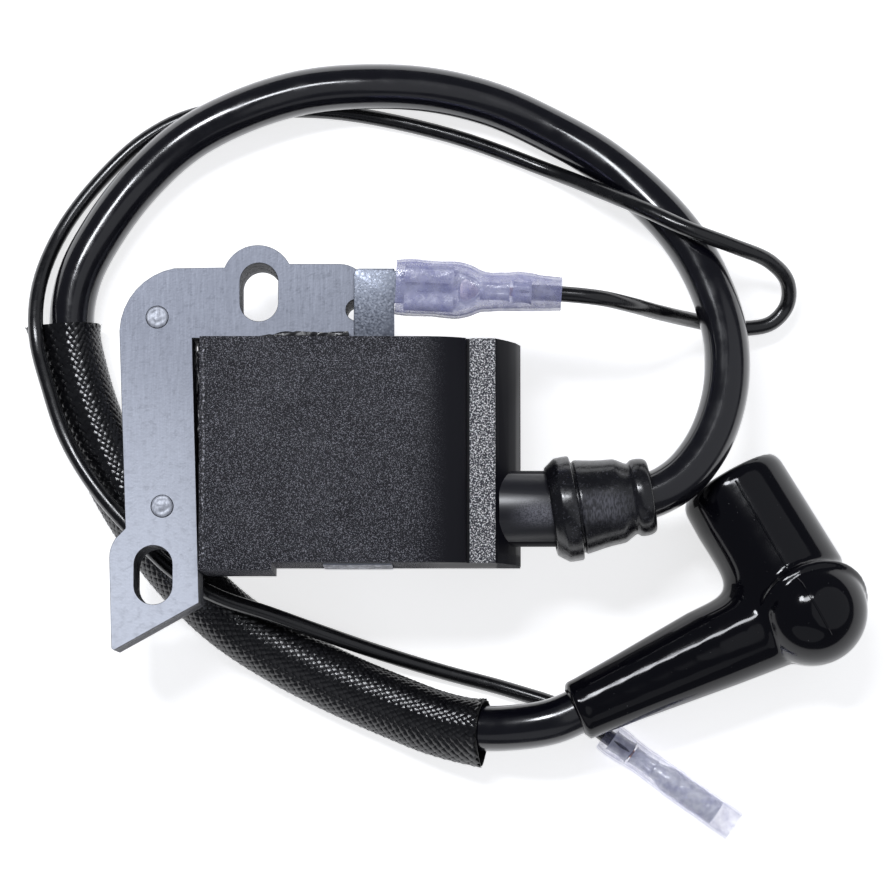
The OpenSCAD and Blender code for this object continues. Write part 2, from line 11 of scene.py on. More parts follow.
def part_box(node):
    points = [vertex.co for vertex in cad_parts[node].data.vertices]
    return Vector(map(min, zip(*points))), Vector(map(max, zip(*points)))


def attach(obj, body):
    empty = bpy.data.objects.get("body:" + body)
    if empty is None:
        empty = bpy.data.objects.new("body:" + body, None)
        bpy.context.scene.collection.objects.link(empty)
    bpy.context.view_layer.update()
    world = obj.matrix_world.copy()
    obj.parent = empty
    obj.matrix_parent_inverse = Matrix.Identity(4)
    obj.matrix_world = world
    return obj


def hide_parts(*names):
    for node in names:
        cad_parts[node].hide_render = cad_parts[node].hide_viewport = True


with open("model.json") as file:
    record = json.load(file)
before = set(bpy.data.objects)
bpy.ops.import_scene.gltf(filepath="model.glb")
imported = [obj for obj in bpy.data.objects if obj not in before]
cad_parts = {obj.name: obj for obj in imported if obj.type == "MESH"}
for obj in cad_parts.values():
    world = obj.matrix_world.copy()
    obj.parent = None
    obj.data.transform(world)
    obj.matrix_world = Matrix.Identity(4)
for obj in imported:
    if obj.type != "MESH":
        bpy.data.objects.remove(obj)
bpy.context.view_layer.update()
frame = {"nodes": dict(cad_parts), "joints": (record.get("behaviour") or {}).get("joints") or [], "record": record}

# Blender seeds this noise by the clock, so the seed is fixed here
noise.seed_set(7)

# Points below are in millimetres, in the row frame. make() turns them into metres.
MM = 0.001
MOUNTS = {m["name"]: m for m in frame["record"]["mounts"]}
JOINTS = {j["name"]: j for j in frame["joints"]}
COIL = "coil"
CAP = "cap"
TAB_SLEEVE = "tab_sleeve"
SOCKET_SLEEVE = "socket_sleeve"


def box_mm(node):
    """The low and high corners of a CAD node's box."""
    low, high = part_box(node)
    return np.array(low) / MM, np.array(high) / MM


# ---------- Camera and light ----------

CAMERA_AT = (9.4, -50, 638)
CAMERA_AIM = (9.4, 0, 23)
LENS = 165.6


def scene_object(name, data):
    made = bpy.data.objects.new(name, data)
    bpy.context.scene.collection.objects.link(made)
    return made


def aimed(name, data, at, aim):
    """A camera or a light at one point, looking at another."""
    obj = scene_object(name, data)
    obj.location = Vector(at) * MM
    obj.rotation_euler = (Vector(aim) - Vector(at)).to_track_quat("-Z", "Y").to_euler()
    return obj


def add_camera():
    data = bpy.data.cameras.new("camera")
    data.lens = LENS
    data.sensor_width = 36
    data.clip_start = 0.01
    bpy.context.scene.camera = aimed("camera", data, CAMERA_AT, CAMERA_AIM)


COOL_WHITE = (0.93, 0.95, 1.0)
# Each softbox: where it stands, what it looks at, width, height and watts
LIGHTS = {
    "key_light": ((-230, 230, 560), (0, 0, 10), 120, 120, 1.05),
    "fill_light": ((340, 20, 430), (10, 0, 10), 900, 900, 0.7),
    "low_light": ((-60, -420, 300), (0, 0, 10), 600, 300, 0.12),
    "strip_light": ((-90, 245, 620), (0, 0, 10), 280, 80, 1.05),
}
SKY_COLOR = (0.82, 0.86, 1, 1)
SKY_STRENGTH = 0.12
FLOOR_GLOW = 0.72
FLOOR_HALF = 2500


def softbox(name, at, aim, width, height, watts):
    data = bpy.data.lights.new(name, "AREA")
    data.shape = "ELLIPSE"
    data.color = COOL_WHITE
    data.size = width * MM
    data.size_y = height * MM
    data.energy = watts
    aimed(name, data, at, aim)


def add_studio():
    for name, light in LIGHTS.items():
        softbox(name, *light)
    world = bpy.data.worlds.new("studio")
    world.use_nodes = True
    sky = world.node_tree.nodes["Background"]
    sky.inputs["Color"].default_value = SKY_COLOR
    sky.inputs["Strength"].default_value = SKY_STRENGTH
    bpy.context.scene.world = world
    bpy.context.scene.view_settings.view_transform = "Standard"
    d = FLOOR_HALF
    corners = [(-d, -d, 0), (d, -d, 0), (d, d, 0), (-d, d, 0)]
    floor = scene_object("floor", mesh_from("floor", corners, [(0, 1, 2, 3)]))
    paint = Paint("floor_paper", (0.9, 0.9, 0.9), 0.9)
    paint.fix("Emission Color", (1, 1, 1, 1))
    paint.fix("Emission Strength", FLOOR_GLOW)
    floor.data.materials.append(paint.material)


# ---------- Materials ----------


class Paint:
    """A material with a Principled shader, whose patterns lie in the object's own millimetres."""

    def __init__(self, name, color, roughness, metallic=0.0):
        self.material = bpy.data.materials.new(name)
        self.material.use_nodes = True
        self.tree = self.material.node_tree
        self.shader = self.tree.nodes["Principled BSDF"]
        self.fix("Base Color", (*color, 1))
        self.fix("Roughness", roughness)
        self.fix("Metallic", metallic)

    def fix(self, socket, value):
        self.shader.inputs[socket].default_value = value

    def node(self, kind, **settings):
        made = self.tree.nodes.new("ShaderNode" + kind)
        for key, value in settings.items():
            setattr(made, key, value)
        return made

    def wire(self, source, target):
        self.tree.links.new(source, target)

    def place(self, stretch=(1, 1, 1)):
        """Object coordinates in millimetres, divided by stretch along each axis."""
        mapping = self.node("Mapping")
        mapping.inputs["Scale"].default_value = [1 / MM / s for s in stretch]
        self.wire(self.node("TexCoord").outputs["Object"], mapping.inputs["Vector"])
        return mapping.outputs["Vector"]

    def noise(self, size, detail=2.0, stretch=(1, 1, 1), rough=0.5):
        made = self.node("TexNoise")
        made.inputs["Scale"].default_value = 1 / size
        made.inputs["Detail"].default_value = detail
        made.inputs["Roughness"].default_value = rough
        self.wire(self.place(stretch), made.inputs["Vector"])
        return made.outputs[0]

    def cells(self, size):
        made = self.node("TexVoronoi")
        made.inputs["Scale"].default_value = 1 / size
        self.wire(self.place(), made.inputs["Vector"])
        return made.outputs["Distance"]

    def along(self, axis):
        """One of the object's own coordinates, in millimetres."""
        split = self.node("SeparateXYZ")
        self.wire(self.place(), split.inputs[0])
        return split.outputs["XYZ".index(axis)]

    def spread(self, value, low=0.3, high=0.7, to_low=0.0, to_high=1.0):
        """Eases from to_low to to_high while value goes from low to high."""
        made = self.node("MapRange", interpolation_type="SMOOTHSTEP")
        for name, number in (
            ("From Min", low), ("From Max", high), ("To Min", to_low), ("To Max", to_high)
        ):
            made.inputs[name].default_value = number
        self.wire(value, made.inputs["Value"])
        return made.outputs["Result"]

    def math(self, operation, a, b):
        made = self.node("Math", operation=operation)
        for k, value in enumerate((a, b)):
            if isinstance(value, (int, float)):
                made.inputs[k].default_value = value
            else:
                self.wire(value, made.inputs[k])
        return made.outputs[0]

    def times(self, *values):
        """The product of several outputs."""
        total = values[0]
        for value in values[1:]:
            total = self.math("MULTIPLY", total, value)
        return total

    def ridge(self, axis, rise, fall):
        """0 outside and 1 between: up over the range rise, down again over the range fall."""
        value = self.along(axis)
        return self.times(self.spread(value, *rise), self.spread(value, *fall))

    def mix(self, factor, a, b):
        """Colour a where factor is 0 and b where it is 1."""
        made = self.node("Mix", data_type="RGBA")
        self.wire(factor, made.inputs[0])
        for k, value in ((6, a), (7, b)):
            if isinstance(value, tuple):
                made.inputs[k].default_value = (*value, 1)
            else:
                self.wire(value, made.inputs[k])
        return made.outputs[2]

    def drive(self, socket, output):
        self.wire(output, self.shader.inputs[socket])

    def tint(self, factor, a, b):
        """Base colour a where factor is 0 and b where it is 1."""
        self.drive("Base Color", self.mix(factor, a, b))

    def dull(self, value, low, high, smooth, rough):
        """Roughness from smooth to rough while value goes from low to high."""
        self.drive("Roughness", self.spread(value, low, high, smooth, rough))

    def bump(self, height, depth, under=None):
        """Relief of that depth in millimetres, on top of the bump under it."""
        made = self.node("Bump")
        made.inputs["Distance"].default_value = depth * MM
        self.wire(height, made.inputs["Height"])
        if under is not None:
            self.wire(under, made.inputs["Normal"])
        return made.outputs["Normal"]

    def relief(self, height, depth, under=None):
        self.drive("Normal", self.bump(height, depth, under))


def steel_face():
    p = Paint("lamination_steel", (0.4, 0.42, 0.47), 0.4, 0.55)
    brushed = p.noise(0.22, 3, (1, 14, 1))
    mottle = p.noise(1.1, 4)
    cloud = p.noise(14, 2)
    tone = p.mix(p.spread(mottle, 0.3, 0.72), (0.21, 0.225, 0.27), (0.31, 0.33, 0.39))
    tone = p.mix(p.spread(brushed, 0.35, 0.8, 0, 0.35), tone, (0.46, 0.49, 0.57))
    tone = p.mix(p.spread(cloud, 0.3, 0.7, 0, 0.3), tone, (0.2, 0.215, 0.26))
    # Painted sheen: the stack's face is painted brighter towards its lower end
    wear_and_sheen = p.spread(p.along("Y"), 24, -34, 0, 0.85)
    p.tint(wear_and_sheen, tone, (0.8, 0.84, 0.93))
    p.dull(mottle, 0.25, 0.75, 0.34, 0.52)
    p.relief(p.noise(0.35, 4), 0.012, p.bump(brushed, 0.008))
    return p.material


def steel_edge():
    p = Paint("lamination_edge", (0.3, 0.31, 0.34), 0.5, 0.7)
    streak = p.noise(0.5, 3, (5, 5, 0.7))
    sides = p.mix(p.spread(streak), (0.05, 0.05, 0.058), (0.15, 0.155, 0.17))
    pole = p.times(p.spread(p.along("Y"), -17.3, -17.6), p.spread(p.along("X"), -12, -11))
    flaky = p.mix(p.spread(p.noise(0.9, 4), 0.42, 0.6), (0.25, 0.25, 0.28), (0.7, 0.71, 0.76))
    p.tint(pole, sides, flaky)
    p.relief(streak, 0.02)
    return p.material


def rivet_steel():
    p = Paint("rivet_steel", (0.6, 0.62, 0.66), 0.5, 0.4)
    rough = p.noise(0.3, 4, (1, 4, 1))
    p.tint(p.spread(rough), (0.42, 0.44, 0.5), (0.66, 0.69, 0.76))
    p.relief(rough, 0.02)
    return p.material


def housing_plastic(name, shine):
    """Sparkling grain on the face and, brighter, on the band; scuffs and a painted highlight along the tower's
    crest.

    The round front and the flank are smooth.
    """
    p = Paint(name, (0.02, 0.02, 0.022), 0.45)
    p.fix("Specular IOR Level", shine)
    grain = p.noise(0.15, 2, rough=0.7)
    coarse = p.noise(0.24, 2, rough=0.7)
    x, z = p.along("X"), p.along("Z")
    face = p.spread(x, 2.6, 10, 1, 0)
    band = p.times(p.spread(x, 12.7, 12.8), p.spread(x, 16.6, 16.7, 1, 0), p.spread(z, 24.3, 24.6))
    foot = p.times(p.spread(x, 16.7, 17.2), p.spread(p.along("Y"), -16.4, -15.6, 1, 0))
    rough_area = p.math("MAXIMUM", p.math("MAXIMUM", face, band), foot)
    speck = p.spread(grain, 0.55, 0.63)
    cloud = p.noise(7, 2)
    dark = p.mix(p.spread(cloud), (0.014, 0.014, 0.018), (0.024, 0.024, 0.029))
    smooth = p.mix(rough_area, (0.009, 0.009, 0.013), dark)
    plain = p.mix(p.times(speck, face), smooth, (0.36, 0.36, 0.4))
    bright = p.mix(p.spread(coarse, 0.5, 0.6), (0.06, 0.06, 0.07), (1, 1, 1))
    # Painted highlight: a lighter band along the tower's crest, broken up by scuffs
    painted_highlight_band = p.times(
        p.ridge("Y", (-12.6, -10.4), (-7.4, -9.6)), p.spread(x, 18, 23), p.spread(z, 20, 24)
    )
    scuffs_in_highlight = p.spread(coarse, 0.38, 0.62, 0.25, 1)
    tone = p.mix(band, plain, bright)
    p.tint(p.times(painted_highlight_band, scuffs_in_highlight), tone, (0.2, 0.2, 0.23))
    p.dull(rough_area, 0, 1, 0.34, 0.5)
    p.relief(p.times(grain, rough_area), 0.09)
    return p.material


def housing_rim_plastic():
    p = Paint("housing_rim_plastic", (0.03, 0.03, 0.035), 0.35)
    wear_and_sheen = p.spread(p.noise(0.3, 3), 0.5, 0.65)
    p.tint(wear_and_sheen, (0.02, 0.02, 0.024), (0.5, 0.5, 0.55))
    return p.material


def black_resin():
    p = Paint("black_resin", (0.012, 0.012, 0.014), 0.22)
    p.dull(p.noise(2.5, 3), 0.3, 0.7, 0.14, 0.4)
    p.relief(p.noise(1.6, 3), 0.15)
    return p.material


def tin_plate():
    p = Paint("tinned_steel", (0.5, 0.51, 0.49), 0.38, 0.8)
    flake = p.cells(0.55)
    fine = p.noise(0.3, 4)
    tone = p.mix(p.spread(flake, 0.05, 0.5), (0.4, 0.43, 0.5), (0.2, 0.22, 0.27))
    p.tint(p.spread(fine, 0.35, 0.7, 0, 0.4), tone, (0.4, 0.43, 0.49))
    p.dull(fine, 0.3, 0.7, 0.28, 0.5)
    p.relief(fine, 0.02)
    return p.material


def bright_tin(name, metallic, smooth, rough):
    """Tinned crimps: stains take the roughness from smooth to rough."""
    p = Paint(name, (0.75, 0.76, 0.8), 0.22, metallic)
    stain = p.noise(0.8, 3)
    p.tint(p.spread(stain, 0.35, 0.7), (0.92, 0.93, 0.97), (0.64, 0.65, 0.72))
    p.dull(stain, 0.3, 0.7, smooth, rough)
    p.relief(p.noise(0.5, 3), 0.03)
    return p.material


def metal(name, dark, light, size=0.5, stretch=(1, 1, 1)):
    p = Paint(name, light, 0.32, 1.0)
    stain = p.noise(size, 3, stretch)
    p.tint(p.spread(stain), dark, light)
    p.dull(stain, 0.3, 0.7, 0.25, 0.5)
    p.relief(stain, 0.02)
    return p.material


def plastic(name, dark, light, roughness=0.5):
    p = Paint(name, light, roughness)
    grain = p.noise(0.6, 3)
    p.tint(p.spread(grain), dark, light)
    p.relief(grain, 0.02)
    return p.material


def boot_rubber():
    """Glossy rubber with fine wear all over, and scuffs with a painted highlight along its crest."""
    p = Paint("boot_rubber", (0.016, 0.016, 0.018), 0.3)
    p.fix("Specular IOR Level", 0.7)
    wear = p.times(p.spread(p.noise(0.35, 4), 0.56, 0.66), p.spread(p.noise(3, 2), 0.45, 0.62))
    tone = p.mix(wear, (0.006, 0.006, 0.008), (0.05, 0.05, 0.06))
    # Painted highlight: a lighter band along the boot's crest, broken up by scuffs
    painted_highlight_band = p.times(
        p.ridge("Y", (-12.5, -9.6), (-6, -8.4)), p.ridge("X", (28, 31.5), (39, 33.5)),
        p.spread(p.along("Z"), 20, 23),
    )
    scuffs_in_highlight = p.spread(p.noise(0.4, 4, (0.6, 2, 1)), 0.4, 0.62, 0.2, 1)
    p.tint(p.times(painted_highlight_band, scuffs_in_highlight), tone, (0.12, 0.12, 0.14))
    p.dull(p.noise(0.8, 3), 0.3, 0.7, 0.17, 0.3)
    p.relief(p.noise(0.3, 3), 0.006, p.bump(p.noise(2.2, 2), 0.008))
    return p.material


def coated(name, color, roughness, weight, coat_roughness):
    p = Paint(name, color, roughness)
    p.fix("Coat Weight", weight)
    p.fix("Coat Roughness", coat_roughness)
    return p


def lead_insulation():
    p = coated("lead_insulation", (0.003, 0.003, 0.006), 0.16, 0.8, 0.12)
    p.dull(p.noise(3, 3), 0.3, 0.75, 0.13, 0.26)
    p.relief(p.noise(0.5, 3), 0.006, p.bump(p.noise(5, 1), 0.05))
    return p.material


def wire_insulation():
    p = coated("wire_insulation", (0.005, 0.005, 0.006), 0.2, 0.6, 0.15)
    p.dull(p.noise(1.5, 3), 0.3, 0.7, 0.18, 0.32)
    p.relief(p.noise(0.3, 2), 0.008)
    return p.material


def cap_rubber():
    p = Paint("cap_rubber", (0.003, 0.003, 0.005), 0.13)
    p.fix("Specular IOR Level", 0.36)
    dust = p.spread(p.noise(0.25, 1), 0.79, 0.83)
    p.tint(dust, (0.003, 0.003, 0.005), (0.2, 0.2, 0.2))
    p.dull(p.noise(4, 3), 0.3, 0.75, 0.07, 0.12)
    p.relief(p.noise(6, 1), 0.02)
    return p.material


def braid_yarn():
    p = coated("braid_yarn", (0.004, 0.004, 0.005), 0.15, 0.3, 0.25)
    p.fix("Specular IOR Level", 0.6)
    cloud = p.spread(p.noise(1.5, 2))
    p.tint(cloud, (0.003, 0.003, 0.004), (0.009, 0.009, 0.01))
    p.relief(p.noise(0.14, 2), 0.02)
    return p.material


def clear_vinyl(name, thin, thick):
    """Lavender film. thin and thick are its opacity face on and at its edges and wrinkles."""
    p = coated(name, (0.6, 0.6, 0.82), 0.16, 0.5, 0.06)
    p.fix("IOR", 1.45)
    edge = p.node("LayerWeight")
    edge.inputs["Blend"].default_value = 0.35
    haze = p.spread(p.noise(1.3, 3), 0.35, 0.75, 0.0, 0.14)
    veil = p.spread(edge.outputs["Facing"], 0.1, 0.95, thin, thick)
    p.drive("Alpha", p.math("ADD", veil, haze))
    cloud = p.spread(p.noise(2.0, 2))
    p.tint(cloud, (0.42, 0.43, 0.74), (0.62, 0.63, 0.88))
    p.relief(p.noise(1.1, 2), 0.1)
    return p.material


# ---------- Mesh helpers ----------

# Used where CAD meshes are softened
WELD = 0.002
FLAT_WITHIN = math.radians(0.5)
SHARP_OVER = math.radians(30)


def mesh_from(name, verts, faces):
    """A mesh from points in millimetres."""
    mesh = bpy.data.meshes.new(name)
    faces = [list(map(int, f)) for f in faces]
    mesh.from_pydata((np.asarray(verts, float) * MM).tolist(), [], faces)
    return mesh


def make(name, verts, faces, material, body, replaces=(), sharp=35):
    """A piece from points in millimetres."""
    mesh = mesh_from(name, verts, faces)
    return finish_piece(name, mesh, material, body, replaces, sharp)


def finish_piece(name, mesh, material, body, replaces=(), sharp=35):
    """A piece from a mesh in metres, shaded smooth except at edges over sharp degrees."""
    mesh.validate()
    for m in material if isinstance(material, (list, tuple)) else [material]:
        mesh.materials.append(m)
    mesh.polygons.foreach_set("use_smooth", [True] * len(mesh.polygons))
    mesh.set_sharp_from_angle(angle=math.radians(sharp))
    obj = scene_object(name, mesh)
    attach(obj, body)
    if replaces:
        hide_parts(*replaces)
    return obj


def unit(rows):
    rows = np.asarray(rows, float)
    return rows / np.linalg.norm(rows, axis=-1, keepdims=True)


def smooth_route(points, steps):
    """A centripetal Catmull-Rom curve through the points."""
    p = np.asarray(points, float)
    p = np.vstack([2 * p[0] - p[1], p, 2 * p[-1] - p[-2]])
    out = []
    for a, b, c, d in zip(p, p[1:], p[2:], p[3:]):
        t1 = np.linalg.norm(b - a) ** 0.5
        t2 = t1 + np.linalg.norm(c - b) ** 0.5
        t3 = t2 + np.linalg.norm(d - c) ** 0.5
        for t in np.linspace(t1, t2, steps, endpoint=False):
            ab = ((t1 - t) * a + t * b) / t1
            bc = ((t2 - t) * b + (t - t1) * c) / (t2 - t1)
            cd = ((t3 - t) * c + (t - t2) * d) / (t3 - t2)
            low = ((t2 - t) * ab + t * bc) / t2
            high = ((t3 - t) * bc + (t - t1) * cd) / (t3 - t1)
            out.append(((t2 - t) * low + (t - t1) * high) / (t2 - t1))
    return np.array(out + [p[-2]])


def axes_along(path):
    """Sideways and upward directions at each point of a path."""
    heading = unit(np.gradient(path, axis=0))
    side = unit(np.cross(heading, (0, 0, 1)))
    return side, np.cross(side, heading)


def grid_faces(rows, cols, wrap=True, start=0, flip=False):
    """Quads between rows of points; wrap joins each row's last point to its first."""
    out = []
    for i in range(rows - 1):
        for k in range(cols if wrap else cols - 1):
            m = (k + 1) % cols
            a, b = start + i * cols, start + (i + 1) * cols
            quad = (a + k, a + m, b + m, b + k)
            out.append(quad[::-1] if flip else quad)
    return out


def capped_faces(rows, cols):
    """Quads between rings of points, and one face over each end."""
    caps = [tuple(range(cols))[::-1], tuple(range((rows - 1) * cols, rows * cols))]
    return grid_faces(rows, cols) + caps


def walled_faces(rows, cols):
    """Quads of an outer skin and, after its points, an inner one, joined at both ends."""
    count = rows * cols
    last = count - cols
    faces = grid_faces(rows, cols) + grid_faces(rows, cols, start=count, flip=True)
    for k in range(cols):
        m = (k + 1) % cols
        faces += [
            (m, k, count + k, count + m), (last + k, last + m, count + last + m, count + last + k)
        ]
    return faces


def around(sides):
    """Angles evenly round a circle."""
    return np.linspace(0, 2 * math.pi, sides, endpoint=False)


def circle(radius, sides):
    w = around(sides)
    return np.stack([radius * np.cos(w), radius * np.sin(w)], 1)


def swept(path, radius, sides):
    """A round tube along a path."""
    side, up = axes_along(path)
    ring = circle(radius, sides)
    verts = path[:, None] + ring[:, :1] * side[:, None] + ring[:, 1:] * up[:, None]
    return verts.reshape(-1, 3), capped_faces(len(path), sides)


def turned(profile, sides, closed=False):
    """A lathe round X from [along, radius] points; closed joins the last point to the first."""
    w = around(sides)
    rows = np.array(profile, float)
    x, radius = rows[:, :1], rows[:, 1:]
    verts = np.stack([np.repeat(x, sides, 1), radius * np.cos(w), radius * np.sin(w)], 2)
    faces = grid_faces(len(rows), sides, flip=True)
    if closed:
        last = (len(rows) - 1) * sides
        for k in range(sides):
            m = (k + 1) % sides
            faces.append((last + k, k, m, last + m)[::-1])
    return verts.reshape(-1, 3), faces


def softened(profile, closed=False):
    """Cuts a profile's corners off, a quarter of each side at each end."""
    p = [np.array(q, float) for q in profile]
    out = [] if closed else [p[0]]
    for a, b in zip(p, p[1:] + ([p[0]] if closed else [])):
        out += [a * 0.75 + b * 0.25, a * 0.25 + b * 0.75]
    return out if closed else out + [p[-1]]


def placed(verts, at, x_axis, y_axis=None):
    """Points moved from a piece's own axes to the row frame."""
    x = unit(x_axis)
    y = unit(np.cross((0, 0, 1), x)) if y_axis is None else unit(y_axis)
    z = np.cross(x, y)
    return np.asarray(verts) @ np.stack([x, y, z]) + np.asarray(at, float)


def joined(parts):
    """Several (points, faces) pairs as one."""
    verts, faces, at = [], [], 0
    for v, f in parts:
        verts.append(np.asarray(v, float))
        faces += [tuple(at + i for i in q) for q in f]
        at += len(v)
    return np.vstack(verts), faces


def roughened(verts, depth, size, seed=0.0):
    """Points pushed about by smooth noise."""
    out = np.array(verts, float)
    for i, v in enumerate(out):
        at = Vector(v / size) + Vector((seed, seed, seed))
        out[i] += np.array(noise.noise_vector(at)) * depth
    return out


def mesh_of(obj):
    """The mesh of an object with its modifiers applied; the object itself goes."""
    bpy.context.view_layer.update()
    made = bpy.data.meshes.new_from_object(
        obj.evaluated_get(bpy.context.evaluated_depsgraph_get())
    )
    bpy.data.objects.remove(obj)
    return made


def remeshed(mesh, voxel):
    """A mesh made again as one even skin, in voxels of that many millimetres."""
    blank = scene_object("blank", mesh)
    remesh = blank.modifiers.new("remesh", "REMESH")
    remesh.mode = "VOXEL"
    remesh.voxel_size = voxel * MM
    return mesh_of(blank)


def softened_node(node, width):
    """A copy of a CAD node's mesh whose sharp edges are rounded by that many millimetres."""
    mesh = bpy.data.meshes.new(node + "_soft")
    b = bmesh.new()
    b.from_mesh(frame["nodes"][node].data)
    bmesh.ops.remove_doubles(b, verts=b.verts, dist=WELD * MM)
    bmesh.ops.dissolve_limit(b, angle_limit=FLAT_WITHIN, verts=b.verts, edges=b.edges)
    sharp = [e for e in b.edges if len(e.link_faces) == 2 and e.calc_face_angle(0) > SHARP_OVER]
    bmesh.ops.bevel(
        b, geom=sharp, offset=width * MM, segments=2, profile=0.5, affect="EDGES",
        clamp_overlap=True,
    )
    bmesh.ops.triangulate(b, faces=[f for f in b.faces if len(f.verts) > 4])
    b.to_mesh(mesh)
    b.free()
    return mesh


# ---------- Cords ----------

LEAD = [
    [21, -9, 18.5], [28.5, -9, 18.5], [34, -8, 18.5], [40, -7, 18.5], [44.5, -4.5, 18],
    [48, -0.5, 17.2], [50.5, 4.5, 16.2], [52, 11, 14.8], [51.8, 18.5, 13], [49.5, 26.5, 10.8],
    [45.5, 34, 8.2], [40, 40.5, 6], [33, 46.5, 4.5], [25, 51.2, 3.8], [16.5, 55, 4],
    [7, 57.2, 4.8], [-3, 57.6, 5.8], [-13, 56.6, 6.2], [-22.5, 53.6, 6.2], [-31, 49.2, 5.4],
    [-38, 43, 4.4], [-43.8, 35.4, 4], [-47.6, 28, 4], [-48.8, 20.5, 4], [-47.4, 13, 4],
    [-44.8, 5, 4], [-41.2, -3, 4], [-36.8, -10.5, 4], [-31, -18, 4], [-24.2, -24.5, 4],
    [-16.5, -29.6, 4], [-7.5, -34.2, 4], [1.5, -38, 4.6], [8.5, -40.6, 6], [15, -41.9, 7.8],
    [21, -41.7, 9.8], [25.5, -40.9, 10.8], [29.4, -39.3, 11], [42.1, -33.4, 11],
]
# The braided sleeve lies between these two points of the lead
SLEEVE_FIRST = 23
SLEEVE_LAST = 34
LEAD_D = 7.0
WIRE = [
    [19.5, 23.3, 24], [26.5, 23, 24], [32.5, 22.4, 23.7], [37, 21.8, 20.5], [41.5, 21.3, 14.8],
    [46.5, 20.9, 8.6], [51.5, 20.3, 5.4], [56.2, 20, 4.2], [59.8, 20.9, 3.9], [62.1, 23.6, 4.3],
    [62, 27, 6.4], [59, 29.8, 9.4], [53.4, 31.7, 12.6], [46.5, 34, 14.4],
    [40, 37.3, 12.4], [33, 41, 7.6], [25, 45, 2.4], [10, 50.6, 1.2], [-7, 54.2, 1.2],
    [-19, 54.6, 1.2],
    [-29.5, 54, 1.2], [-37.5, 50.2, 1.2], [-45, 43.2, 1.2], [-50.8, 35, 2.2], [-53.8, 26.5, 4.8],
    [-54, 18.5, 6.8], [-52, 10.5, 6.8], [-49.2, 2.6, 7.2], [-44.4, -5.2, 8.5], [-38.5, -12, 9.4],
    [-32, -18.2, 9.6], [-25.5, -21.9, 9.5], [-18, -24.4, 8.4], [-10, -27.2, 6.4], [-1, -30.2, 3],
    [9, -33.2, 1.3], [19, -35.9, 1.2], [28.8, -39.3, 2.5], [33.7, -42.8, 2.5], [37.8, -45.7, 2.5],
]
WIRE_D = 2.4
# Points made of each stretch between two points of a route
CORD_STEPS = 6
SLEEVE_STEPS = 12


def add_cord(name, route, diameter, sides, material, node):
    path = smooth_route(route, CORD_STEPS)
    verts, faces = swept(path, diameter / 2, sides)
    return make(name, verts, faces, material, COIL, [node], sharp=60), path


# ---------- Braided sleeve ----------

YARNS = 24
# Spacing of the crossings along the sleeve, half a yarn's width and its arch
ROW = 0.66
YARN_HALF = 0.37
YARN_ARCH = 0.06
# Yarns weave this much above and below their middle height over the sleeve's surface
WEAVE_MID = 0.12
WEAVE_SWING = 0.1
# Radii by which the yarns' lean and width are laid out
LEAN_R = 4.3
WIDTH_R = 4.2
SLEEVE_HALF_W = 4.1
SLEEVE_HALF_H = 3.72
TABLE_GAP = 0.03
LINER_ROWS = 90
LINER_SIDES = 40
LINER_OUTER = -0.05
LINER_INNER = -0.2


def sleeve_outline(angle, share):
    """[side, up] of the flattened sleeve's surface, whose outer flank is pinched into a tail.

    Both mouths flare, and at the first one (share 0) the tail is a wider flap.
    """
    c, s = np.cos(angle), np.sin(angle)
    tail = 1.0 - 0.45 * np.sin(math.pi * share)
    out = np.maximum(c, 0)
    mouth = 0.3 * (np.exp(-share * 70) + np.exp(-(1 - share) * 70))
    flap = 1.2 * np.exp(-share * 22)
    u = (SLEEVE_HALF_W + mouth) * c + (1.5 * tail + flap) * out**3
    v = (SLEEVE_HALF_H + mouth) * s * (1 - 0.3 * tail * out**2) - 0.8 * tail * out**3
    return u, v


def add_braid(material, liner_material):
    """The yarns of both hands over a dark liner."""
    path = smooth_route(LEAD, SLEEVE_STEPS)
    path = path[SLEEVE_FIRST * SLEEVE_STEPS : SLEEVE_LAST * SLEEVE_STEPS + 1]
    along = np.concatenate([[0], np.cumsum(np.linalg.norm(np.diff(path, axis=0), axis=1))])
    total = along[-1]
    side, up = axes_along(path)

    def surface(s, angle, out):
        """Points at distance s along the sleeve, that far out from its surface."""
        s = np.clip(s, 0, total)
        centre, u_axis, v_axis = (
            np.stack([np.interp(s, along, rows[:, k]) for k in range(3)], -1)
            for rows in (path, side, up)
        )
        u, v = sleeve_outline(angle, s / total)
        u, v = u + out * np.cos(angle), v + out * np.sin(angle)
        point = centre + u[..., None] * u_axis + v[..., None] * v_axis
        point[..., 2] = np.maximum(point[..., 2], TABLE_GAP)
        return point

    turn_rate = math.pi / (ROW * YARNS)
    lean = math.atan(turn_rate * LEAN_R)
    parts = []
    rng = random.Random(7)
    for hand in (1, -1):
        for k in range(YARNS):
            start, stop = rng.uniform(-0.1, 0.35), total - rng.uniform(-0.1, 0.35)
            s = np.arange(start, stop, ROW / 2)
            angle = hand * turn_rate * s + 2 * math.pi * k / YARNS
            lift = WEAVE_MID + hand * WEAVE_SWING * np.cos(turn_rate * YARNS * s)
            rows = [
                surface(
                    s - hand * across * math.sin(lean),
                    angle + across * math.cos(lean) / WIDTH_R,
                    lift + arch,
                )
                for across, arch in ((-YARN_HALF, 0.0), (0.0, YARN_ARCH), (YARN_HALF, 0.0))
            ]
            verts = np.stack(rows, 1).reshape(-1, 3)
            parts.append((verts, grid_faces(len(s), 3, wrap=False)))
    verts, faces = joined(parts)
    yarns = make(
        "braided_sleeve_yarns", verts, faces, material, COIL, ["braided_sleeve"], sharp=80
    )
    w = around(LINER_SIDES)
    skins = [
        surface(np.full(LINER_SIDES, s), w, np.full(LINER_SIDES, out))
        for out in (LINER_OUTER, LINER_INNER) for s in np.linspace(0, total, LINER_ROWS)
    ]
    liner = make(
        "braided_sleeve_liner", np.vstack(skins), walled_faces(LINER_ROWS, LINER_SIDES),
        liner_material, COIL, [],
    )
    return yarns, liner


# ---------- Core ----------


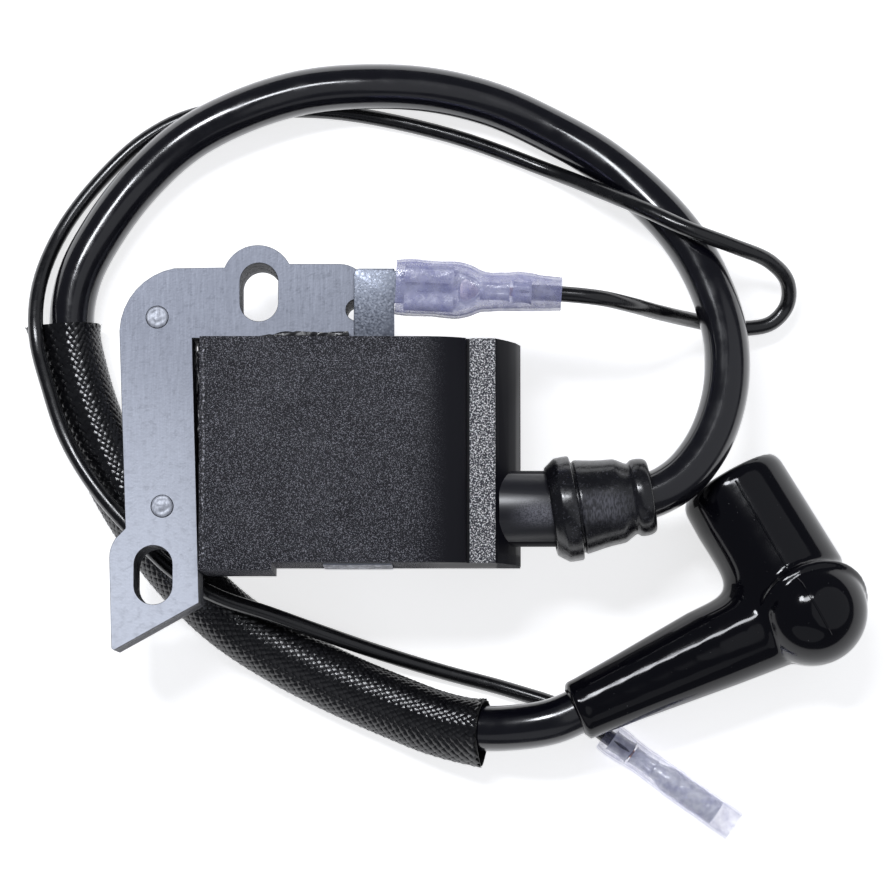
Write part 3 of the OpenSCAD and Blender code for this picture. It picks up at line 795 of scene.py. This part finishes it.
def face_loops(node, height):
    """The outlines of a CAD node's flat faces at that height, with the face on their left."""
    mesh = frame["nodes"][node].data
    edges = {}
    for poly in mesh.polygons:
        points = [tuple(round(c / MM, 3) for c in mesh.vertices[i].co) for i in poly.vertices]
        if poly.normal.z > 0.99 and all(abs(p[2] - height) < 0.02 for p in points):
            for a, b in zip(points, points[1:] + points[:1]):
                if (b, a) in edges:
                    del edges[(b, a)]
                else:
                    edges[(a, b)] = True
    after = {a: b for a, b in edges}
    loops = []
    while after:
        first, point = next(iter(after.items()))
        loop = [first]
        del after[first]
        while point != first:
            loop.append(point)
            point = after.pop(point)
        loops.append(np.array(loop)[:, :2])
    return loops


def pulled_in(loop, by):
    """A loop moved into the face on its left by that much."""
    step = unit(np.roll(loop, -1, 0) - loop)
    left = np.stack([-step[:, 1], step[:, 0]], 1)
    both = left + np.roll(left, 1, 0)
    size = np.maximum((both**2).sum(1, keepdims=True), 0.5)
    return loop + 2 * both / size * by


SHEETS = 24
# Each sheet's side steps in by GROOVE at its edges, over EDGE, and is out of line by up to SLIP
GROOVE = 0.09
EDGE = 0.05
SLIP = 0.05


def add_core(face_paint, edge_paint):
    """The stack of laminations: one skin whose sides step in between the sheets."""
    low, high = box_mm("core_laminations")
    pitch = (high[2] - low[2]) / SHEETS
    loops = face_loops("core_laminations", high[2])
    rng = random.Random(3)
    levels = []
    for k in range(SHEETS):
        slip = rng.uniform(0, SLIP)
        z = low[2] + k * pitch
        top = z + pitch
        levels += [(z, GROOVE), (z + EDGE, slip), (top - EDGE, slip), (top, GROOVE)]
    # marks: 0 for the flat faces' paint, 1 for the sides'
    verts, faces, marks = [], [], []
    tops, bottoms = [], []
    for loop in loops:
        n = len(loop)
        start = len(verts)
        for z, depth in levels:
            verts += [(x, y, z) for x, y in pulled_in(loop, depth)]
        side = grid_faces(len(levels), n, start=start)
        faces += side
        marks += [1] * len(side)
        bottoms.append(list(range(start, start + n)))
        tops.append(list(range(start + (len(levels) - 1) * n, start + len(levels) * n)))
    for rings, flip in ((tops, False), (bottoms, True)):
        flat = [i for ring in rings for i in ring]
        lines = [[Vector((verts[i][0], verts[i][1], 0)) for i in ring] for ring in rings]
        for tri in geometry.tessellate_polygon(lines):
            tri = [flat[i] for i in tri]
            a, b, c = (Vector(verts[i][:2] + (0,)) for i in tri)
            up = (b - a).cross(c - a).z > 0
            faces.append(tri if up != flip else tri[::-1])
            marks.append(0)
    core = make(
        "lamination_stack", verts, faces, [face_paint, edge_paint], COIL,
        ["core_laminations"], sharp=25,
    )
    core.data.polygons.foreach_set("material_index", marks)
    return core


def add_rivets(material):
    """Upset rivet heads on the stack's front, with the shanks' ends flush at its back."""
    low, high = box_mm("core_rivets")
    core_high = box_mm("core_laminations")[1][2]
    parts = []
    for loop in face_loops("core_rivets", high[2]):
        centre = loop.mean(0)
        radius = float(np.linalg.norm(loop - centre, axis=1).max())
        top = high[2] - core_high
        profile = softened([
            (low[2] - core_high - 0.01, 0.01), (low[2] - core_high - 0.01, radius - 0.1),
            (-0.3, radius - 0.1), (0.0, radius), (top * 0.55, radius - 0.05),
            (top * 0.9, radius - 0.35), (top * 0.7, radius - 0.8), (top, 0.5), (top, 0.01),
        ])
        verts, faces = turned(profile, 40)
        verts = placed(verts, (*centre, core_high), (0, 0, 1), (1, 0, 0))
        dented = roughened(verts, 0.07, 0.6, centre[1])
        verts = np.where(verts[:, 2:] > core_high, dented, verts)
        parts.append((verts, faces))
    verts, faces = joined(parts)
    return make("rivet_heads", verts, faces, material, COIL, ["core_rivets"], 50)


# ---------- Boot ----------

BOOT_AT = (28, -9, 18.5)
BOOT_TURN = math.radians(9.3)


def add_boot(material):
    outer = [
        (-3.0, 5.9), (-3.0, 6.6), (-2.7, 6.9), (-1.5, 7.8), (-1.2, 7.95), (0.5, 8.0), (0.9, 7.9),
        (1.0, 7.4), (1.05, 6.9), (1.3, 6.9), (1.5, 7.15), (2.0, 7.15), (5.0, 6.6), (7.2, 6.45),
        (7.7, 6.35), (9.0, 5.6), (9.4, 5.4), (9.6, 5.5), (10.1, 5.9), (11.4, 5.9), (12.2, 5.6),
        (12.5, 5.2), (12.4, 4.7), (11.6, 4.5), (11.3, 4.2),
    ]
    inner = [(11.2, 3.6), (10.8, 3.55), (3.0, 3.55), (1.2, 5.8)]
    profile = softened(outer + inner, closed=True)
    verts, faces = turned(profile, 96, closed=True)
    verts = roughened(verts, 0.03, 4.0)
    verts = placed(verts, BOOT_AT, (math.cos(BOOT_TURN), math.sin(BOOT_TURN), 0))
    return make("tower_boot_rubber", verts, faces, material, COIL, ["tower_boot"])


# ---------- Plug cap ----------

LEG_L = 31
# Where leg and nose meet, in the leg's own axes
KNOB = (38.5, -1.3, 0.3)
NOSE_L = 23.9
# The nose's straight wall narrows from its root over this length
NOSE_TAPER_L = NOSE_L - 3.5
NOSE_ROOT_R = 8.95
NOSE_END_R = 8.5
NOSE_SHIFT = 0.6
DOME_R = 8.4
DOME_RISE = 2.8
DOME_TILT = math.radians(48)
DOME_RIM_R = 0.85
SEAM_R = 0.16
CAP_VOXEL = 0.36
# How the blend is smoothed: passes everywhere, then more of them round the inner bend
EASE_PASSES = 5
BEND_PASSES = 110
BEND_REACH = 9.0
INNER_BEND = (53.5, -19.5, 11)


def bored(body, cutters):
    """The body's mesh with each (points, faces) cutter taken out of it."""
    helpers = []
    for k, (verts, faces) in enumerate(cutters):
        mesh = mesh_from("cutter", verts, faces)
        b = bmesh.new()
        b.from_mesh(mesh)
        bmesh.ops.remove_doubles(b, verts=b.verts, dist=0.02 * MM)
        bmesh.ops.recalc_face_normals(b, faces=b.faces)
        b.to_mesh(mesh)
        b.free()
        helpers.append(scene_object("cutter", mesh))
        cut = body.modifiers.new(f"bore_{k}", "BOOLEAN")
        cut.operation = "DIFFERENCE"
        cut.solver = "EXACT"
        cut.object = helpers[-1]
    made = mesh_of(body)
    for helper in helpers:
        bpy.data.objects.remove(helper)
    return made


def eased_mesh(mesh):
    """Rounds the cap: the first passes everywhere, and all of them near the inner bend."""
    n = len(mesh.vertices)
    points = np.empty(n * 3)
    mesh.vertices.foreach_get("co", points)
    points = points.reshape(-1, 3)
    edges = np.empty(len(mesh.edges) * 2, int)
    mesh.edges.foreach_get("vertices", edges)
    a, b = edges.reshape(-1, 2).T
    count = np.bincount(a, minlength=n) + np.bincount(b, minlength=n)
    away = np.linalg.norm(points - np.array(INNER_BEND) * MM, axis=1)
    near = np.clip((1 - away / (BEND_REACH * MM)) * 2, 0, 1)[:, None]
    for k in range(BEND_PASSES):
        total = np.zeros_like(points)
        for axis in range(3):
            total[:, axis] = np.bincount(a, points[b, axis], n) + np.bincount(b, points[a, axis], n)
        weight = np.maximum(near, 0.6 if k < EASE_PASSES else 0.0) * 0.8
        points += (total / count[:, None] - points) * weight
    mesh.vertices.foreach_set("co", points.ravel())
    mesh.update()


def add_cap(material):
    """The elbow: a cone, a nose and a domed end with a rim, blended by a remesh and then bored."""
    joint = JOINTS["cap_swivel"]
    at, axis = np.array(joint["pos_m"]) / MM, unit(joint["axis"])
    nose = unit(MOUNTS["plug_socket"]["axis"])
    knob = placed([KNOB], at, axis)[0]
    flat_nose = unit(np.array([nose[0], nose[1], 0]))
    across = np.cross((0, 0, 1), flat_nose)
    dome_at = knob + [0, 0, DOME_RISE]
    nose_at = knob + across * NOSE_SHIFT
    upward = np.array([0, 0, 1.0])
    dome_axis = math.sin(DOME_TILT) * upward - math.cos(DOME_TILT) * flat_nose
    leg = softened([
        (-0.7, 0.01), (-0.7, 4.75), (2, 4.75), (LEG_L, 7.35), (38, 7.35), (38, 0.01)
    ])
    nose_wall = softened([
        (-0.5, 0.01), (-0.5, NOSE_ROOT_R), (NOSE_TAPER_L, NOSE_END_R), (NOSE_L - 0.8, 8.4),
        (NOSE_L + 0.4, 7.4), (NOSE_L + 0.4, 0.01),
    ])
    ball = [
        (DOME_R * math.cos(w), max(DOME_R * math.sin(w), 0.01))
        for w in np.linspace(math.pi, 0, 33)
    ]
    rim = [
        (DOME_RIM_R * math.cos(w), DOME_R - 0.1 + DOME_RIM_R * math.sin(w)) for w in around(16)
    ]
    solids = [
        (turned(leg, 64), at, axis), (turned(nose_wall, 72), nose_at, nose),
        (turned(ball, 72), knob, nose), (turned(ball, 72), dome_at, dome_axis),
        (turned(rim, 96, closed=True), dome_at, dome_axis),
    ]
    verts, faces = joined([(placed(v, p, a), f) for (v, f), p, a in solids])
    mesh = remeshed(mesh_from("cap_blank", verts, faces), CAP_VOXEL)
    eased_mesh(mesh)
    body = scene_object("cap_body", mesh)
    lead_bore = turned([
        (-2, 0.01), (-2, 3.8), (0.3, 3.75), (1.2, 3.6), (14, 3.55), (14.2, 3), (37, 3), (37, 0.01)
    ], 48)
    plug_bore = turned([
        (-4, 0.01), (-4, 4.2), (8, 4.2), (8.1, 5.2), (22.9, 5.2), (23.5, 5.6), (26, 6.2), (26, 0.01)
    ], 64)
    mesh = bored(body, [
        (placed(lead_bore[0], at, axis), lead_bore[1]),
        (placed(plug_bore[0], knob, nose), plug_bore[1]),
    ])
    elbow = finish_piece("plug_cap_elbow", mesh, material, CAP, ["plug_cap"], 50)
    nose_up = unit(np.cross(nose, np.cross((0, 0, 1), nose)))
    taper = (NOSE_END_R - NOSE_ROOT_R) / NOSE_TAPER_L
    along_nose = [
        nose_at + nose * t + nose_up * (NOSE_ROOT_R + taper * t)
        for t in np.linspace(NOSE_L - 2, 6, 12)
    ]
    over_dome = [
        dome_at + DOME_R * (math.cos(w) * flat_nose + math.sin(w) * upward)
        for w in np.radians(np.linspace(58, 122, 14))
    ]
    verts, faces = swept(smooth_route(along_nose + over_dome, 3), SEAM_R, 10)
    seam = make("plug_cap_parting_line", verts, faces, material, CAP, [])
    return elbow, seam


# ---------- Stop terminal and its clear sleeve ----------

TERMINAL_AT = (1.5, 24.05, 24)
CRIMP_SIDES = 48
# The rolled ring round the receptacle's tongue: points round it, sides and middle
RING = 40
RING_SIDES = 8
RING_X = 11.0


def in_terminal(verts):
    return placed(verts, TERMINAL_AT, JOINTS["tab_sleeve_slide"]["axis"])


def thick_line(points, thickness):
    """A closed outline that thickness wide around an open line."""
    p = np.asarray(points, float)
    step = unit(np.gradient(p, axis=0))
    left = np.stack([-step[:, 1], step[:, 0]], 1) * thickness / 2
    return np.vstack([p + left, (p - left)[::-1]])


def lofted(stations, outline_at, sides):
    """Rings of outline_at(station) along X, with flat ends. A station starts with its X."""
    verts = np.vstack([
        np.column_stack([np.full(sides, row[0]), outline_at(row)]) for row in stations
    ])
    return verts, capped_faces(len(stations), sides)


def crimp_outline(row):
    """A barrel whose two wings are rolled in along its top."""
    _, radius, groove = row
    w = around(CRIMP_SIDES)
    off = (w - math.pi / 2 + math.pi) % (2 * math.pi) - math.pi
    r = radius * (1 - groove * np.exp(-((off / 0.32) ** 2)))
    return np.column_stack([r * np.cos(w), r * np.sin(w)])


def crimp(x0, x1, radius):
    rows = [
        (x0, radius * 1.12, 0.12), (x0 + 0.3, radius, 0.28), ((x0 + x1) / 2, radius * 0.94, 0.34),
        (x1 - 0.3, radius, 0.28), (x1, radius * 1.12, 0.12),
    ]
    return lofted(rows, crimp_outline, CRIMP_SIDES)


def quarter_arc(x, y, radius, start):
    """A quarter of a circle round a middle, from an angle in degrees."""
    return [
        (x + radius * math.cos(math.radians(w)), y + radius * math.sin(math.radians(w)))
        for w in np.linspace(start, start + 90, 6)
    ]


def add_kill_terminal(material, copper):
    """The receptacle: a box with rolled-in edges, a ramp, a ring with a tongue, two crimps."""
    half = [
        (0, -1.2), *quarter_arc(2.45, -0.45, 0.75, -90), *quarter_arc(2.45, 0.45, 0.75, 0),
        (1.1, 1.2), (0.85, 1.0),
    ]
    outline = thick_line([(-x, y) for x, y in half[::-1]] + half[1:], 0.42)
    body = lofted([(x,) for x in np.linspace(1.5, 8.9, 6)], lambda row: outline, len(outline))
    ramp_rows = [(8.6, 3.0, -1.1), (10.0, 2.9, -1.1), (11.6, 2.3, -1.05), (13.3, 1.15, -0.9)]

    def ramp_outline(row):
        _, w, z = row
        under, over, lip = z - 0.21, z + 0.21, z + 0.5
        return np.array([
            (-w, under), (w, under), (w + 0.1, lip), (w - 0.25, lip), (w - 0.35, over),
            (-w + 0.35, over), (-w + 0.25, lip), (-w - 0.1, lip),
        ])

    ramp = lofted(ramp_rows, ramp_outline, 8)
    w = around(RING)
    drop = np.column_stack([
        RING_X + 1.55 * np.cos(w) * (1 + 0.18 * np.cos(w)),
        1.75 * np.sin(w) * (1 - 0.3 * np.cos(w)), np.full(RING, -0.55),
    ])
    rings = []
    for a in around(RING_SIDES):
        grow = 1 + 0.09 * math.cos(a)
        rings.append((drop - [RING_X, 0, 0]) * [grow, grow, 1] + [RING_X, 0, 0.16 * math.sin(a)])
    ring_verts = np.stack(rings, 1).reshape(-1, 3)
    ring_faces = []
    for i in range(RING):
        a, b = i * RING_SIDES, (i + 1) % RING * RING_SIDES
        for k in range(RING_SIDES):
            m = (k + 1) % RING_SIDES
            ring_faces.append((a + k, a + m, b + m, b + k))
    neck = lofted(
        [(12.9, 1.25), (13.3, 1.3)], lambda row: circle(row[1], CRIMP_SIDES), CRIMP_SIDES
    )
    verts, faces = joined([
        body, ramp, (ring_verts, ring_faces), neck, crimp(13.3, 17.3, 1.35),
        crimp(17.8, 20.6, 1.62),
    ])
    verts = roughened(verts, 0.025, 1.2)
    tin = make(
        "receptacle_and_crimps", in_terminal(verts), faces, material, COIL,
        ["kill_terminal"],
    )
    # The tongue: a disc with a raised middle, its back, and the skirt between them
    disc = np.vstack([drop + [0, 0, -0.05], [[RING_X, 0, -0.4]]])
    back = disc - [0, 0, 0.3]
    first = len(disc)
    around_ring = [(i, (i + 1) % RING) for i in range(RING)]
    faces = [(i, k, RING) for i, k in around_ring]
    faces += [(first + k, first + i, first + RING) for i, k in around_ring]
    faces += [(i, first + i, first + k, k) for i, k in around_ring]
    tongue = make(
        "receptacle_tongue", in_terminal(np.vstack([disc, back])), faces, copper, COIL, [],
    )
    return tin, tongue


def between(rows, count):
    """Rows of numbers eased between the given ones, evenly along the first column."""
    rows = np.asarray(rows, float)
    x = np.linspace(rows[0, 0], rows[-1, 0], count)
    out = [x]
    for k in range(1, rows.shape[1]):
        slope = np.gradient(rows[:, k], rows[:, 0])
        i = np.clip(np.searchsorted(rows[:, 0], x, "right") - 1, 0, len(rows) - 2)
        h = rows[i + 1, 0] - rows[i, 0]
        t = (x - rows[i, 0]) / h
        a, b = rows[i, k], rows[i + 1, k]
        out.append(
            (2 * t**3 - 3 * t**2 + 1) * a + (t**3 - 2 * t**2 + t) * h * slope[i]
            + (3 * t**2 - 2 * t**3) * b + (t**3 - t**2) * h * slope[i + 1]
        )
    return np.stack(out, 1)


def film_tube(rows, wall, sides, wrinkle):
    """A thin tube whose rows are [x, reach to -y, reach to +y, half height, squareness]."""
    w = around(sides)
    skins = []
    for inset in (0.0, wall):
        rings = []
        for x, low, high, tall, square in rows:
            c, s = np.cos(w), np.sin(w)
            c = np.sign(c) * np.abs(c) ** (2 / square)
            s = np.sign(s) * np.abs(s) ** (2 / square)
            wide = np.where(c > 0, high, low) - inset
            rings.append(np.column_stack([np.full(sides, x), wide * c, (tall - inset) * s]))
        skins.append(np.vstack(rings))
    verts = roughened(np.vstack(skins), wrinkle, 1.8, 4.0)
    return verts, walled_faces(len(rows), sides)


def add_tab_sleeve(material):
    rows = between([
        (0.2, 4.1, 4.1, 2.4, 3), (0.9, 4.2, 4.2, 2.5, 3.2), (6, 4.25, 4.15, 2.5, 3.2),
        (10.4, 4.25, 4.05, 2.5, 2.8), (11.8, 3.8, 3.6, 2.6, 2.4), (13.0, 3.25, 3.04, 2.75, 2.1),
        (14.5, 3.08, 2.8, 2.8, 2), (16.5, 2.95, 2.95, 2.85, 2), (18.9, 2.85, 3.12, 2.9, 2),
        (22, 2.68, 2.76, 2.7, 2), (25.1, 2.5, 2.5, 2.5, 2),
    ], 90)
    verts, faces = film_tube(rows, 0.4, 56, 0.09)
    verts = in_terminal(verts)
    node = "kill_terminal_sleeve"
    return make("tab_sleeve_film", verts, faces, material, TAB_SLEEVE, [node])


# ---------- Bullet socket and its clear sleeve ----------

BULLET_AT = (33.7, -42.8, 2.5)


def in_bullet(verts):
    return placed(verts, BULLET_AT, -np.array(JOINTS["socket_sleeve_slide"]["axis"]))


def add_bullet_terminal(material):
    socket = softened([
        (9.1, 1.0), (9.1, 1.35), (9.8, 1.35), (11.8, 1.98), (12.4, 2.0), (13.6, 2.0), (13.9, 1.88),
        (14.2, 2.0), (18.6, 2.0), (18.9, 1.88), (19.2, 2.0), (20.8, 2.0), (21.0, 1.9), (20.9, 1.76),
        (12.2, 1.76), (12.0, 1.0),
    ], closed=True)
    parts = [turned(socket, 56, closed=True), crimp(1.4, 4.9, 1.62), crimp(5.3, 9.2, 1.36)]
    verts, faces = joined(parts)
    verts = in_bullet(roughened(verts, 0.04, 1.2))
    node = "bullet_terminal"
    return make("socket_and_crimps", verts, faces, material, COIL, [node])


def add_socket_sleeve(material):
    rows = between([
        (0.0, 2.3, 2.3, 2.3, 2), (0.6, 2.45, 2.45, 2.44, 2), (4.0, 2.47, 2.47, 2.46, 2),
        (5.0, 2.36, 2.36, 2.4, 2), (9.5, 2.3, 2.32, 2.36, 2), (11.5, 2.42, 2.4, 2.42, 2),
        (18, 2.45, 2.45, 2.46, 2), (24.4, 2.42, 2.42, 2.44, 2),
    ], 70)
    verts, faces = film_tube(rows, 0.36, 48, 0.06)
    verts = in_bullet(verts)
    node = "bullet_sleeve"
    return make("socket_sleeve_film", verts, faces, material, SOCKET_SLEEVE, [node])


# ---------- Housing details ----------

RIM_X = -26.9
# The housing's duller flank, between the band and the tower
FLANK_X = (16.75, 20.6)
DULL, TOWER = 1, 2
# Resin deep in the slit between the core's leg and the housing
FILL_AT = (-27.9, 0.5, 14)
FILL_SIZE = (1.2, 32, 3)
RESIN_VOXEL = 0.22
RESIN_PUSH = 0.3


def add_rim(material):
    """The raised lip along the housing's left edge."""
    top = box_mm("coil_housing")[1][2]
    path = np.array([(RIM_X, y, top - 0.12) for y in np.linspace(-17.1, 15.9, 120)])
    verts, faces = swept(path, 0.3, 12)
    return make(
        "housing_rim", roughened(verts, 0.08, 0.5), faces, material, COIL, []
    )


def add_resin(material):
    """The resin squeezed out round the core, with uneven edges."""
    mesh = softened_node("sealing_bead", 0.1)
    b = bmesh.new()
    b.from_mesh(mesh)
    stretch = Matrix.Diagonal((*(Vector(FILL_SIZE) * MM), 1))
    bmesh.ops.create_cube(b, size=1, matrix=Matrix.Translation(Vector(FILL_AT) * MM) @ stretch)
    b.to_mesh(mesh)
    b.free()
    mesh = remeshed(mesh, RESIN_VOXEL)
    for v in mesh.vertices:
        push = noise.noise_vector(v.co / (2.2 * MM)) + 0.4 * noise.noise_vector(v.co / (0.7 * MM))
        v.co += push * RESIN_PUSH * MM
    return finish_piece(
        "resin_bead", mesh, material, COIL, ["sealing_bead"], 60
    )


# ---------- Making it ----------

add_camera()

tin = bright_tin("bright_tin", 0.6, 0.4, 0.6)
socket_tin = bright_tin("socket_tin", 0.05, 0.16, 0.32)
lead, lead_path = add_cord(
    "ht_lead_insulation", LEAD, LEAD_D, 32, lead_insulation(), "ht_lead"
)
wire, wire_path = add_cord(
    "stop_wire_insulation", WIRE, WIRE_D, 20, wire_insulation(), "kill_wire"
)
yarns, liner = add_braid(braid_yarn(), plastic("braid_liner", (0.004,) * 3, (0.008,) * 3))
cap, cap_seam = add_cap(cap_rubber())
tongue_copper = metal("copper_tongue", (0.5, 0.42, 0.44), (0.72, 0.66, 0.7), 1)
receptacle, tongue = add_kill_terminal(tin, tongue_copper)
tab_film = add_tab_sleeve(clear_vinyl("clear_vinyl", 0.3, 0.75))
socket = add_bullet_terminal(socket_tin)
socket_film = add_socket_sleeve(clear_vinyl("clear_vinyl_thin", 0.06, 0.4))

add_studio()
add_core(steel_face(), steel_edge())
add_rivets(rivet_steel())
add_boot(boot_rubber())
shell = finish_piece(
    "housing_shell", softened_node("coil_housing", 0.28),
    [
        housing_plastic("housing_plastic", 0.22), housing_plastic("housing_flank_plastic", 0.015),
        housing_plastic("housing_tower_plastic", 0.9),
    ],
    COIL, ["coil_housing"],
)
for face in shell.data.polygons:
    x = face.center.x / MM
    if FLANK_X[0] < x < FLANK_X[1] or abs(face.normal.y) > 0.9:
        face.material_index = DULL
    elif x > FLANK_X[1]:
        face.material_index = TOWER
finish_piece(
    "stop_tab", softened_node("kill_tab", 0.12), tin_plate(), COIL, ["kill_tab"]
)
add_rim(housing_rim_plastic())
add_resin(black_resin())

WOUND = (12, 1, 12)
BRASS = (0.5, 0.36, 0.13), (0.75, 0.57, 0.27)
STRANDS = (0.45, 0.22, 0.12), (0.72, 0.42, 0.26)
KEPT = {
    "potting_resin": black_resin(),
    "primary_bobbin": plastic("natural_nylon", (0.72, 0.72, 0.68), (0.8, 0.8, 0.77)),
    "primary_winding": metal(
        "enamelled_copper", (0.35, 0.13, 0.05), (0.6, 0.27, 0.11), 0.25, WOUND
    ),
    "secondary_bobbin": plastic("dark_nylon", (0.06, 0.07, 0.06), (0.1, 0.11, 0.1)),
    "secondary_winding": metal("fine_copper", (0.4, 0.18, 0.08), (0.66, 0.36, 0.18), 0.12, WOUND),
    "module_board": plastic("circuit_board", (0.02, 0.1, 0.035), (0.03, 0.15, 0.05), 0.35),
    "switching_transistor": plastic("component_black", (0.01, 0.01, 0.01), (0.025, 0.025, 0.025)),
    "module_components": plastic("component_body", (0.4, 0.24, 0.12), (0.55, 0.38, 0.22), 0.4),
    "ground_strap": tin_plate(),
    "ht_contact": metal("contact_brass", *BRASS),
    "lead_end_spike": metal("spike_brass", *BRASS),
    "ht_conductor": metal("lead_strands", *STRANDS, 0.2),
    "kill_wire_conductor": metal("wire_strands", *STRANDS, 0.2),
    "plug_terminal_spring": metal("spring_steel", (0.45, 0.45, 0.47), (0.7, 0.7, 0.73)),
}
for node, material in KEPT.items():
    data = frame["nodes"][node].data
    data.materials.clear()
    data.materials.append(material)
